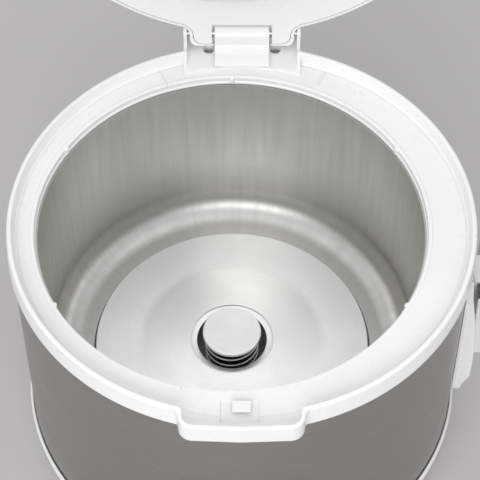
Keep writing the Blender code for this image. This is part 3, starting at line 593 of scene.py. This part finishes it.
def base_housing():
    """White base whose lip stands round the foot of the shell."""
    corners = [(0, 5.0), (108, 5.0, 4), (119.4, 7.4, 8), (126.6, 12.4, 8), (131.2, 18.9, 8), (133.6, 26, 3)]
    corners += [(133.6, 29.9, 0.3), (135.4, 29.9, 0.3), (135.4, 33.5, 0.4), (137.0, 33.5, 0.7)]
    corners += [(137.2, 30.6, 4), (136.4, 25.4, 10), (133.4, 17.3, 12), (128.4, 10.0, 12), (120.6, 4.9, 10)]
    corners += [(108, 2.5, 6), (0, 2.5)]
    base = lathe("base_bowl", corners)
    slots = []
    for index in range(8):
        angle = math.radians(45 * index)
        slot = block(f"vent_{index}", (34, -1.7, 0), (72, 1.7, 8), 1.2)
        slot.data.transform(Matrix.Rotation(angle, 4, "Z"))
        slots.append(slot)
    cut(base, *slots)
    piece(base, "casing", ["base_housing"], WHITE)


def rubber_feet():
    """Soft feet with a rounded rim."""
    for name in ("front_left", "front_right", "rear_left", "rear_right"):
        low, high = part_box(f"foot_{name}")
        middle = (low + high) / 2 / MM
        radius = (high.x - low.x) / 2 / MM
        top = high.z / MM
        corners = [(0, 0.35), (5.2, 0.35, 0.3), (6.0, 0, 0.3), (radius, 0, 0.7)]
        corners += [(radius, top, 0.2), (0, top)]
        foot = lathe(f"foot_pad_{name}", corners, (middle.x, middle.y), SMALL_RING)
        piece(foot, "casing", [f"foot_{name}"], RUBBER)


def outer_shell():
    """Brushed drum with the windows for lever, lamps and inlet."""
    inner = SHELL_R - 0.8
    corners = [(SHELL_R, SHELL_TOP_Z), (SHELL_R, SHELL_BOTTOM_Z)]
    corners += [(inner, SHELL_BOTTOM_Z), (inner, SHELL_TOP_Z)]
    shell = lathe("brushed_drum", corners)
    front, back = THROUGH_FRONT
    tools = [block("lever_window", (-12, front, 41), (12, back, 61))]
    for side in (-1, 1):
        x = LAMP_X * side
        tools.append(bar(f"lamp_{side}", 3.4, (x, front, LAMP_Z), (x, back, LAMP_Z)))
    tools += [block("inlet_window", (-12.6, 120, 44.4), (12.6, 150, 65.6))]
    cut(shell, *tools)
    piece(shell, "casing", ["outer_shell"], SHELL)


def tab_outline(inset=0.0, back=-118.0, steps=8):
    """The front tab seen from above, its front edge bowed a little."""
    half = TAB_HALF - inset
    front = TAB_Y + inset
    bow = 1.4
    corner = 8.0 - inset * 0.8
    corners = [(-half, back), (-half, front + bow, corner), (0, front, 90)]
    corners += [(half, front + bow, corner), (half, back)]
    return rounded(corners, steps)


def shell_space(name):
    """Room for the drum's upper edge."""
    return bar(name, SHELL_R + 1.1, (0, 0, 150), (0, 0, SHELL_TOP_Z + 1.2), steps=RING)


def hinge_tower():
    """Raised rear part of the collar with the two ears that hold the pin."""
    ear = arc((HINGE_Y, HINGE_Z), EAR_R, 150, -10, 18)
    outline = [(112, TOWER_BOTTOM_Z), (112, 192.8), (122.5, 194.9), (131, 198.6), (136.2, CREST_Z - 0.3)]
    outline += ear
    outline += arc((146.5, 193.0), 3.8, 35, -5, 5) + [(151, 186), (149.5, TOWER_BOTTOM_Z)]
    tower = slab("tower", outline, "YZ", -EAR_HALF, EAR_HALF, 0.5)
    cut(tower, bar("tower_front", 122.0, (0, 0, 170), (0, 0, 220), steps=RING), shell_space("tower_space"))
    return tower


def tab_pocket_outline():
    """Inside of the tab seen from above; its sides turn gently into the crest's inner face."""
    half = TAB_HALF - TAB_WALL + 0.4
    turn = 5.0
    middle_x = half + turn
    middle_y = -math.sqrt((CREST_INNER_R + turn) ** 2 - middle_x ** 2)
    towards_axis = math.degrees(math.atan2(-middle_y, -middle_x))
    right = arc((middle_x, middle_y), turn, 180, towards_axis, 8)[1:] + [(half, -109)]
    left = [(-x, y) for x, y in right[::-1]]
    return tab_outline(TAB_WALL - 0.4, middle_y) + right + left


def tab_root(side):
    """Hollow fillet where the tab's side meets the crest's outer face."""
    turn = 3.0
    middle_x = TAB_HALF + turn
    middle_y = -math.sqrt((COLLAR_R + 0.3 + turn) ** 2 - middle_x ** 2)
    towards_axis = math.degrees(math.atan2(-middle_y, -middle_x))
    hollow = arc((middle_x, middle_y), turn, 180, towards_axis, 6)
    outline = [(32, -129), (32, middle_y)] + hollow + [(35.5, -129)]
    outline = [(x * side, y) for x, y in outline]
    return slab(f"tab_root_{side}", outline, "XY", SKIRT_Z + 0.1, CREST_Z - 0.15)


def tab_ramp():
    """Space above the tab's floor, which rises gently towards the front lip."""
    ramp = [(-150, 210), (-150, 197.9)] + arc((-128.0, 222.6), 30.0, 242, 270, 12)
    ramp += [(-108, 192.6), (-108, 210)]
    space = slab("ramp_profile", ramp, "YZ", -60, 60)
    return intersect(space, slab("ramp_plan", tab_pocket_outline(), "XY", 180, ABOVE_COLLAR))


def collar():
    """White moulded ring: skirt, crest bead, sloping band, tab, neck and hinge tower."""
    corners = [(COLLAR_R - 0.1, CREST_Z, 1.5), (COLLAR_R + 0.8, SKIRT_Z, 0.5)]
    corners += [(SHELL_R + 0.6, SKIRT_Z, 0.2), (SHELL_R + 0.6, 190.3), (102, 190.3)]
    corners += [(102, BAND_Z), (129.9, BAND_Z, 0.8)]
    corners += [(130.9, BAND_Z - 0.7, 0.4), (131.9, BAND_Z + 0.5, 0.8), (133.1, CREST_Z, 0.9)]
    ring = lathe("collar_moulding", corners)
    tab = slab("tab", tab_outline(), "XY", SKIRT_Z - 0.2, CREST_Z - 0.05, 0.9)
    join(tab, tab_root(-1), tab_root(1))
    band = bar("band_space", CREST_INNER_R, (0, 0, BAND_Z - 1), (0, 0, ABOVE_COLLAR), steps=RING)
    cut(tab, shell_space("tab_space"), band)
    join(ring, tab, hinge_tower())
    mouth = bar("mouth", MOUTH_R + 0.8, (*CHAMBER, 170), (*CHAMBER, ABOVE_COLLAR), steps=RING)
    cut(ring, mouth)
    neck = [(113.8, NECK_Z, 0.3), (116.7, NECK_Z, 0.2), (117.1, BAND_Z - 1, 0.2)]
    neck += [(117.1, BAND_Z + 0.42, 0.5), (MOUTH_R + 0.1, BAND_Z + 0.42, 0.7)]
    neck += [(MOUTH_R + 0.1, 189.6, 0.3), (113.8, 188.9, 0.3)]
    extras = [lathe("neck", neck, CHAMBER)]
    for index in range(NUBS):
        angle = math.radians(30 + 360 / NUBS * index)
        x = CHAMBER[0] + (MOUTH_R + 0.6) * math.cos(angle)
        y = (MOUTH_R + 0.6) * math.sin(angle)
        extras.append(bar(f"nub_{index}", NUB_R, (x, y, NECK_Z + 0.2), (x, y, BAND_Z + 0.3), 0.7, 32))
    for side in (-1, 1):
        rib = block(f"rib_{side}", (-6, -0.6, BAND_Z - 1), (6, 0.6, BAND_Z + 1.0), 0.35)
        angle = math.radians(90 - RIB_DEG * side)
        spot = Matrix.Translation(scaled((RIB_AT_R * math.cos(angle), RIB_AT_R * math.sin(angle), 0)))
        rib.data.transform(spot @ Matrix.Rotation(angle, 4, "Z"))
        extras.append(rib)
    join(ring, *extras)
    tools = [tab_ramp(), block("recess", (-11.5, -135.6, BAND_Z - 0.8), (9.5, -120.4, ABOVE_COLLAR), 0.8)]
    tools.append(block("pocket", (-EAR_INSIDE, 118, TOWER_FLOOR_Z), (EAR_INSIDE, 170, ABOVE_COLLAR), 0.9))
    tools.append(bar("pin_bore", PIN_BORE_R, (-50, HINGE_Y, HINGE_Z), (50, HINGE_Y, HINGE_Z)))
    for side in (-1, 1):
        x = SCREW_X * side
        tools.append(bar(f"well_{side}", WELL_R, (x, SCREW_Y, 188.5), (x, SCREW_Y, ABOVE_COLLAR), 0.3, 48))
    cut(ring, *tools)
    piece(ring, "casing", ["collar"], WHITE)


def latch_keeper():
    """Strike block that the lid's hook catches."""
    floor = BAND_Z - 0.5
    corners = [(-121.8, floor), (-121.8, 195.4, 1.2), (-129.6, 195.8, 0.5), (-129.6, 194.7, 0.2)]
    corners += [(-128.2, 194.7, 0.2), (-128.2, floor)]
    keeper = slab("strike_block", rounded(corners), "YZ", -5.2, 5.2, 0.6)
    piece(keeper, "casing", ["latch_keeper"], WHITE)


def hinge_cover():
    """Block on the tower floor that sweeps up round the pin, with the spring inside."""
    floor = TOWER_FLOOR_Z + 0.3
    sweep = arc((126.2, 206.9), 9.2, -84, -34, 8)
    barrel = arc((HINGE_Y, HINGE_Z), BARREL_R, 190, -10, 28)
    outline = [(121.5, floor), (121.5, floor + 0.8), (122.3, floor + 1.7)] + sweep + barrel
    outline += [(148.0, 200.0), (148.0, floor)]
    cover = slab("hinge_block", outline, "YZ", -BARREL_HALF, BARREL_HALF, 0.6)
    space = bar("space", 5.2, (-14.5, HINGE_Y, HINGE_Z), (14.5, HINGE_Y, HINGE_Z))
    access = block("access", (-14.3, HINGE_Y - 5, 180), (14.3, HINGE_Y + 5, HINGE_Z))
    bore = bar("bore", PIN_BORE_R, (-50, HINGE_Y, HINGE_Z), (50, HINGE_Y, HINGE_Z))
    cut(cover, space, access, bore)
    piece(cover, "casing", ["hinge_cover"], WHITE)


def side_bracket():
    """White rail with a thin fin at each edge and a flange on the shell, for the paddle holder."""
    corners = [(128, 57), (137.8, 57, 1.5), (138.6, 62.5, 2), (142.6, 70.5, 2.5), (142.8, 89, 20)]
    corners += [(142.2, 105, 30), (141.0, 122, 30), (139.3, 136.6, 30), (136.9, 152, 30)]
    corners += [(135.4, 170, 1), (128, 170)]
    fin = rounded(corners)
    bracket = slab("holder_rail", fin, "XZ", -22.6, 22.6, 0.6)
    for side in (-1, 1):
        inner, outer = sorted((FIN_INNER_Y * side, FIN_OUTER_Y * side))
        join(bracket, slab(f"fin_{side}", fin, "XZ", inner, outer, 0.4))
    outline = rounded([(-28, 57, 7), (28, 57, 7), (28, 152, 22), (0, 174, 6), (-28, 152, 22)], 8)
    flange = slab("flange", outline, "YZ", 120, 150)
    ring = [(SHELL_R + 2.0, 190), (SHELL_R + 2.0, 40), (SHELL_R - 2.0, 40), (SHELL_R - 2.0, 190)]
    intersect(flange, lathe("flange_ring", ring))
    join(bracket, flange)
    drum = bar("drum", SHELL_R + 0.3, (0, 0, 40), (0, 0, 190), steps=RING)
    cut(bracket, drum, block("hook_slot", (138.4, -10.5, 121.5), (141.4, 10.5, 180)))
    piece(bracket, "casing", ["side_bracket"], WHITE)


def paddle_holder():
    """Frosted pocket, thin walled, that hooks on the rail."""
    holder = block("frosted_pocket", (140.0, -24.6, 95), (160.5, 24.6, 150), 0.8, 4)
    inside = block("inside", (147.4, -22.9, 97.2), (158.5, 22.9, 170), 1.2, 4)
    back = block("back", (130, -22.9, 80), (145.4, 22.9, 160), 0.4)
    rear_edge = block("rear_edge", (130, 10, 80), (145.4, 40, 160), 0.4)
    cut(holder, inside, back, rear_edge)
    corners = [(138.8, 122, 0.4), (141.0, 122, 0.4), (141.0, 147.4), (146.4, 147.4)]
    corners += [(146.4, 149.6, 0.5), (138.8, 149.6, 1.2)]
    join(holder, slab("hook", rounded(corners), "XZ", -10, 10, 0.3))
    piece(holder, "holder", ["paddle_holder"], POCKET)


def front_panel():
    """Curved control plate with a switch slot and two lamps."""
    outline = rounded([(-40, 37, 7), (40, 37, 7), (40, 118, 9), (-40, 118, 9)], 8)
    panel = slab("control_plate", outline, "XZ", -150, -120)
    ring = [(138.9, 130, 0), (138.9, 30, 0), (SHELL_R + 0.3, 30), (SHELL_R + 0.3, 130)]
    intersect(panel, lathe("panel_ring", ring))
    outline = rounded([(-36, 41, 5), (36, 41, 5), (36, 114, 7), (-36, 114, 7)], 6)
    groove_out = slab("groove_out", outline, "XZ", -160, -120)
    outline = rounded([(-35, 42, 4.2), (35, 42, 4.2), (35, 113, 6), (-35, 113, 6)], 6)
    groove_in = slab("groove_in", outline, "XZ", -161, -119)
    cut(groove_out, groove_in)
    cut(groove_out, bar("groove_depth", 138.5, (0, 0, 20), (0, 0, 140), steps=RING))
    front, back = THROUGH_FRONT
    tools = [groove_out, block("slot", (-6.0, front, 43), (6.0, back, 59.5), 1.0)]
    for side in (-1, 1):
        x = LAMP_X * side
        tools.append(bar(f"hole_{side}", 3.0, (x, front, LAMP_Z), (x, back, LAMP_Z), steps=48))
    cut(panel, *tools)
    piece(panel, "casing", ["front_panel"], GREY)
    lamps = (("cook", -1, "red_plastic", RED_LENS), ("warm", 1, "amber_plastic", AMBER_LENS))
    for name, side, slot, look in lamps:
        corners = [(0, 0), (2.7, 0), (2.7, 8.6, 0.5), (2.0, 9.2, 0.6), (0, 9.4)]
        lens = lathe(f"lens_{name}", corners, steps=48)
        spot = Matrix.Translation(scaled((LAMP_X * side, -130, LAMP_Z)))
        lens.data.transform(spot @ Matrix.Rotation(math.radians(90), 4, "X"))
        piece(lens, "casing", [f"lamp_lens_{name}"], look)


def cook_knob():
    """Rocking key with a finger dish, on the end of the cooking lever."""
    knob = block("cook_key", (-17, -146.0, 49.5), (17, -139.9, 62), 1.6, 5)
    dish = bar("dish", 22, (-30, -167.2, KNOB_Z), (30, -167.2, KNOB_Z), steps=RING)
    socket = block("socket", (-3.4, -144.0, KNOB_Z - 1.3), (3.4, -130, KNOB_Z + 1.3))
    cut(knob, dish, socket)
    piece(knob, "cook_switch", ["cook_knob"], WHITE)


def power_inlet():
    """Inlet housing with a rounded flange and a deep socket."""
    inlet = block("inlet_housing", (-12, 119, 45), (12, 138, 65), 0.5)
    join(inlet, block("inlet_flange", (-17, 135.4, 40), (17, 138.4, 70), 1.0, 4))
    tools = [block("socket", (-9.6, 123, 47.4), (9.6, 150, 62.6), 1.0)]
    for x, z in INLET_PINS.values():
        tools.append(bar(f"bore_{x}_{z}", 1.6, (x, 110, z), (x, 130, z), steps=32))
    cut(inlet, *tools)
    piece(inlet, "casing", ["ac_inlet"], BLACK)
    for name, (x, z) in INLET_PINS.items():
        pin = bar(f"pin_{name}", 1.3, (x, 116, z), (x, 133, z), 0.5, 32)
        piece(pin, "casing", [f"inlet_pin_{name}"], BRASS)


# ---------------------------------------------------------------- chamber

def inner_liner():
    """Satin bucket with a wide bottom radius and a rolled ledge at the plate."""
    top = NECK_Z - 0.3
    corner = (LINER_R - LINER_CORNER_R, LINER_FLOOR_Z + LINER_CORNER_R)
    under = LINER_FLOOR_Z - 1.0
    outline = [(118.4, top), (118.4, top - 1.0), (114.0, top - 1.0)]
    outline += arc(corner, LINER_CORNER_R + 1.0, 0, -90, 16) + [(PLATE_R + 0.7, under)]
    outline += arc((PLATE_R + 1.2, LINER_FLOOR_Z - 0.5), 0.5, 180, 90, 3)
    outline += arc(corner, LINER_CORNER_R, -90, 0, 20) + [(LINER_R, top)]
    liner = lathe("drawn_liner", outline, CHAMBER)
    piece(liner, "casing", ["inner_liner"], LINER)


def heating_plate():
    """Faced aluminium plate with a bevelled ring round the sensor opening."""
    crown = PLATE_CROWN_Z
    corners = [(24.9, crown - 0.35, 0.1), (25.2, crown - 0.75, 0.1), (25.7, crown - 0.75, 0.1)]
    corners += [(26.1, crown - 0.05, 0.2), (58, PLATE_SEAT_Z, 60), (PLATE_R - 0.6, PLATE_SEAT_Z, 0.5)]
    corners += [(PLATE_R, PLATE_SEAT_Z - 0.7, 0.2), (PLATE_R, 58.5)]
    corners += [(PLATE_HOLE_R, 58.5), (PLATE_HOLE_R, crown - 0.8, 0.25)]
    plate = lathe("faced_plate", corners, CHAMBER)
    piece(plate, "casing", ["heating_plate"], PLATE)


def sensor():
    """Sprung sensor disc and its coil spring."""
    corners = [(0, SENSOR_TOP_Z), (SENSOR_R, SENSOR_TOP_Z - 0.15, 0.6)]
    corners += [(SENSOR_R, CAP_UNDERSIDE_Z, 0.5), (0, CAP_UNDERSIDE_Z)]
    cap = lathe("sensor_disc", corners, CHAMBER, SMALL_RING * 2)
    piece(cap, "sensor", ["sensor_cap"], CAP)
    count = 192
    flat_start = 0.12
    rising_share = 0.76
    points = []
    for step in range(count + 1):
        share = step / count
        angle = 2 * math.pi * COIL_TURNS * share
        eased = min(max((share - flat_start) / rising_share, 0.0), 1.0)
        x = CHAMBER[0] + COIL_R * math.cos(angle)
        y = COIL_R * math.sin(angle)
        points.append((x, y, SPRING_FOOT_Z + 0.8 + COIL_RISE * eased))
    coil = wire("sensor_coil", points, COIL_WIRE_R)
    piece(coil, "casing", ["sensor_spring"], SPRING)
    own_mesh(coil)


# ---------------------------------------------------------------- lid

def dome(radius, rise, base_z, steps):
    """Lid profile from the rim up to the centre, a flattened quarter ellipse."""
    power = 2.0 / 2.7
    points = []
    for step in range(steps + 1):
        angle = math.pi / 2 * step / steps
        r = radius * max(math.cos(angle), 0.0) ** power
        points.append((0.0 if step == steps else r, base_z + rise * math.sin(angle) ** power))
    return points


def neck_outline(inset=0.0):
    """The lid's rear neck seen from above, flaring into the round rim."""
    half = LUG_HALF - inset
    back = HINGE_Y + LUG_R - inset
    flare = arc((half + 9.0, 140.5), 9.0, 248, 180, 12)
    corner = arc((half - 6.0, back - 6.0), 6.0, 0, 90, 10)
    front = 118.0
    side = [(half + 5.0, front)] + flare + corner
    return side + [(-x, y) for x, y in side[::-1]]


def post(name, radius, at, low, high, edge=0.0, steps=RING):
    """An upright round bar in the shut lid's coordinates."""
    return bar(name, radius, (at[0], at[1], low), (at[0], at[1], high), edge, steps)


def lid_shell():
    """Domed cover with the rear lugs, the front tab and the vent well."""
    rim = LID_RIM_Z
    seat = rim + LINING_SHEET + 0.6
    base = rim + LID_STRAIGHT
    inner_r = LID_R - LID_EDGE
    outer = dome(LID_R - 0.1, LID_RISE, base, 30)[::-1]
    outer += arc((LID_R - 0.9, rim + 0.8), 0.8, 0, -90, 4)
    inner = [(inner_r, rim)] + dome(inner_r, LID_RISE - LID_WALL, base, 26)
    shell = lathe("lid_dome", outer + inner)
    neck = slab("neck", neck_outline(), "XY", rim, 216, 0.6)
    lug = [(112, rim), (148.16, rim)] + arc((HINGE_Y, HINGE_Z), LUG_R, -29, 90, 20)
    lug += [(126, 215.5), (112, 215.5)]
    intersect(neck, slab("lugs", lug, "YZ", -60, 60))
    tab = slab("lid_tab", tab_outline(back=-121), "XY", rim, ABOVE_LID, 0.6)
    brow = [(-150, BELOW_LID), (-150, 206), (TAB_Y, 210.9), (-141, 214.3), (-138, 216.4)]
    brow += [(-133, 218.2), (-128, 219), (-112, 219), (-112, BELOW_LID)]
    intersect(tab, slab("brow", brow, "YZ", -60, 60))
    join(shell, neck, tab)
    tools = [slab("lining_seat", neck_outline(LID_EDGE - 0.3), "XY", BELOW_LID, seat)]
    tools.append(slab("tab_inside", tab_outline(TAB_WALL, -120), "XY", BELOW_LID, 211))
    tools.append(post("disc_seat", inner_r + 0.3, (0, 0), BELOW_LID, seat))
    notch = BARREL_HALF + 0.6
    tools.append(block("notch", (-notch, NOTCH_Y, BELOW_LID), (notch, 160, ABOVE_LID), 0.5))
    tools.append(bar("lug_bore", PIN_BORE_R, (-60, HINGE_Y, HINGE_Z), (60, HINGE_Y, HINGE_Z)))
    tools.append(block("button_window", (-20, -140.6, 200), (20, -124.5, 250), 1.2))
    tools.append(post("vent_opening", VENT_R + 1.6, (0, VENT_Y), 230, 270))
    cut(shell, *tools)
    inside = VENT_R + 0.6
    outside = VENT_R + 2.6
    well = [(inside, 251.2, 0.5), (outside, 250.6, 0.5), (outside, 236)]
    well += [(6, 236), (6, 238), (inside, 238, 1)]
    join(shell, lathe("vent_well", well, (0, VENT_Y)))
    piece(shell, "lid", ["lid_outer_shell"], WHITE, on_lid=True)


def lid_lining():
    """Inner cover of the lid with its round recess, posts and stiffening rib."""
    rim = LID_RIM_Z
    sheet = rim + LINING_SHEET
    top = LINING_TOP_Z + LINING_SHEET
    lining = post("lid_lining_cover", LID_R - LID_EDGE, (0, 0), rim, sheet, 0.3)
    extras = [slab("neck", neck_outline(LID_EDGE), "XY", rim + 0.04, sheet - 0.04, 0.2)]
    extras.append(slab("tab", tab_outline(TAB_WALL + 0.3, -112), "XY", rim, sheet, 0.3))
    extras.append(post("dish", 116.4, CHAMBER, rim + 0.2, top, 1.0))
    join(lining, *extras)
    tools = [post("recess", 114.2, CHAMBER, BELOW_LID, LINING_TOP_Z, 1.0)]
    notch = BARREL_HALF + 1.6
    tools.append(block("notch", (-notch, NOTCH_Y - 1, BELOW_LID), (notch, 160, ABOVE_LID), 0.6))
    cut(lining, *tools)
    for side in (-1, 1):
        near, far = sorted((9.6 * side, 12.4 * side))
        low = (near, HOOK_Y - 2.4, rim + 1)
        high = (far, HOOK_Y + 2.4, HOOK_Z + 2.4)
        join(lining, block("hook_post", low, high, 0.5))
    tools = [bar("post_bore", HOOK_BORE_R, (-30, HOOK_Y, HOOK_Z), (30, HOOK_Y, HOOK_Z), steps=32)]
    tools.append(bar("groove", PIN_BORE_R, (-60, HINGE_Y, HINGE_Z), (60, HINGE_Y, HINGE_Z)))
    tools.append(block("hook_window", (-9, -137.6, BELOW_LID), (9, -127.6, ABOVE_LID), 0.5))
    tools.append(post("steam_hole", 6.0, (0, VENT_Y), BELOW_LID, ABOVE_LID, steps=48))
    cut(lining, *tools)
    piece(lining, "lid", ["lid_lining"], WHITE, on_lid=True)


def inner_lid():
    """Lift-off plate with a pressed dish, its gasket and the post that holds it."""
    corners = [(98, 205.6, 1.5), (102, 203, 1.5), (110, 203), (110, 202.2), (101.3, 202.2, 1.5)]
    corners += [(97.5, 204.8, 1.5), (60, 204.8, 0.4), (59.2, 204.3, 0.4), (57.2, 204.3, 0.4)]
    corners += [(56.4, 204.8, 0.4), (5.4, 204.8), (5.4, 205.6)]
    plate = lathe("lid_plate", corners, CHAMBER)
    cut(plate, post("steam_hole", 4.0, (0, VENT_Y), BELOW_LID, ABOVE_LID, steps=48))
    piece(plate, "inner_lid", ["inner_lid_plate"], LID_PLATE, on_lid=True)
    corners = [(112.5, 203.5, 0.5), (112.7, 199, 1.5), (111.4, 196.6, 0.5), (108.6, 196.6, 0.5)]
    corners += [(107, 199.5, 1.5), (107, 201.9, 0.3), (110.3, 201.9, 0.2), (110.3, 203.5, 0.2)]
    piece(lathe("gasket", corners, CHAMBER), "inner_lid", ["lid_gasket"], SILICONE, on_lid=True)
    corners = [(0, 206.7), (9, 206.7, 0.3), (9, 205.9, 0.3), (5.1, 205.9, 0.2)]
    corners += [(5.1, 201, 0.8), (4, 200, 0.6), (0, 200)]
    knob = lathe("plate_post_knob", corners, CHAMBER, SMALL_RING)
    piece(knob, "lid", ["plate_post"], SILICONE, on_lid=True)


def steam_vent():
    """Lift-out vent cap with three rounded slots."""
    inside = VENT_R - 1.5
    corners = [(0, 255.4), (16.5, 255.4, 3), (19.2, 254.5, 1.5), (VENT_R, 252.2, 1.2), (VENT_R, 243, 0.5)]
    corners += [(inside, 243, 0.4), (inside, 252.6, 0.5), (0, 252.6)]
    cap = lathe("vent_cap", corners, (0, VENT_Y), SMALL_RING * 2)
    slots = []
    for index in range(3):
        x = 6 * (index - 1)
        slots.append(block(f"slot_{index}", (x - 1.2, VENT_Y - 8, 240), (x + 1.2, VENT_Y + 8, 260), 1.0))
    cut(cap, *slots)
    piece(cap, "steam_vent", ["steam_vent_cap"], WHITE, on_lid=True)


def latch():
    """Push button with a softly curved face, and the steel hook."""
    outside = [(-140.2, 206.5, 0.4), (-140.2, 213.5, 5), (-137.5, 218.4, 3), (-131, 221.5, 8)]
    outside += [(-125.1, 222.2, 0.6), (-125.1, 206.5)]
    button = slab("push_button", rounded(outside), "YZ", -19.5, 19.5, 0.8)
    inside = [(-138.2, 200), (-138.2, 212.8, 3), (-136.4, 216.2, 2), (-130.5, 219.2, 4)]
    inside += [(-127.1, 219.8), (-127.1, 200)]
    cut(button, slab("inside", rounded(inside), "YZ", -17.5, 17.5))
    piece(button, "button", ["latch_button"], GREY, on_lid=True)
    back = HOOK_Y + 1.5
    front = HOOK_Y - 1.5
    tip = HOOK_Y + 3.3
    shank = [(front, 192.6, 0.8), (tip, 192.6, 0.4), (tip, 194.2, 0.2), (back, 194.2, 0.3)]
    shank += [(back, HOOK_Z), (front, HOOK_Z)]
    claw = slab("hook_claw", rounded(shank), "YZ", -8, 8, 0.3)
    join(claw, bar("hub", 2.6, (-8, HOOK_Y, HOOK_Z), (8, HOOK_Y, HOOK_Z), 0.3, 48))
    cut(claw, bar("bore", HOOK_BORE_R, (-30, HOOK_Y, HOOK_Z), (30, HOOK_Y, HOOK_Z), steps=32))
    piece(claw, "hook", ["latch_hook"], STEEL, on_lid=True)


# ---------------------------------------------------------------- setting

def finish_cad_nodes():
    """Give the CAD nodes that stay in view a procedural finish and smooth shading."""
    slots = {part["node"]: part["material_slot"] for part in frame["record"]["subparts"]}
    for name, node in frame["nodes"].items():
        if not node.hide_render:
            finished(node, CAD_FINISH[slots[name]])


def soft_light(name, spot, target, size, power):
    """A white rectangular lamp of size metres, aimed at target."""
    data = bpy.data.lights.new(name, "AREA")
    data.shape = "RECTANGLE"
    data.size = size[0]
    data.size_y = size[1]
    data.energy = power
    lamp = bpy.data.objects.new(name, data)
    lamp.location = spot
    lamp.rotation_mode = "QUATERNION"
    lamp.rotation_quaternion = (Vector(target) - Vector(spot)).to_track_quat("-Z", "Y")
    bpy.context.scene.collection.objects.link(lamp)


def studio():
    """A light surround and two soft lights."""
    world = bpy.data.worlds.new("surround")
    bpy.context.scene.world = world
    world.use_nodes = True
    back = world.node_tree.nodes["Background"]
    back.inputs["Color"].default_value = (0.95, 0.96, 0.97, 1.0)
    back.inputs["Strength"].default_value = 0.84
    soft_light("overhead", spot=(0.0, 0.1, 2.0), target=(0, 0.05, 0.1), size=(1.8, 1.4), power=5.0)
    soft_light("front", spot=(-0.3, -1.7, 1.1), target=(0, 0.1, 0.3), size=(1.8, 1.0), power=21.0)


def pale_floor():
    """A wide matte floor under the feet."""
    m = Nodes("floor_paint")
    cloud = m.noise(3.0, 3.0)
    tint = m.mixed(m.span(cloud, 0.0, 1.0), (0.50, 0.49, 0.475), (0.47, 0.46, 0.445))
    look = m.set(Base_Color=tint, Roughness=m.span(m.noise(60.0, 3.0), 0.55, 0.68))
    bm = bmesh.new()
    bmesh.ops.create_grid(bm, x_segments=4, y_segments=4, size=4.0)
    floor = new_object("floor", bm)
    floor.data.materials.append(look)


def camera():
    """A long lens looking steeply down into the chamber."""
    data = bpy.data.cameras.new("view")
    data.lens = LENS_MM
    data.sensor_width = SENSOR_MM
    data.clip_start = 0.05
    eye = Vector(EYE)
    aim = Vector(AIM)
    view = bpy.data.objects.new("view", data)
    view.location = eye
    view.rotation_mode = "QUATERNION"
    view.rotation_quaternion = (aim - eye).to_track_quat("-Z", "Y")
    bpy.context.scene.collection.objects.link(view)
    bpy.context.scene.camera = view
    bpy.context.scene.view_settings.view_transform = "Standard"


base_housing()
rubber_feet()
outer_shell()
collar()
latch_keeper()
hinge_cover()
side_bracket()
paddle_holder()
front_panel()
cook_knob()
power_inlet()
inner_liner()
heating_plate()
sensor()
lid_shell()
lid_lining()
inner_lid()
steam_vent()
latch()
finish_cad_nodes()
pale_floor()
studio()
camera()
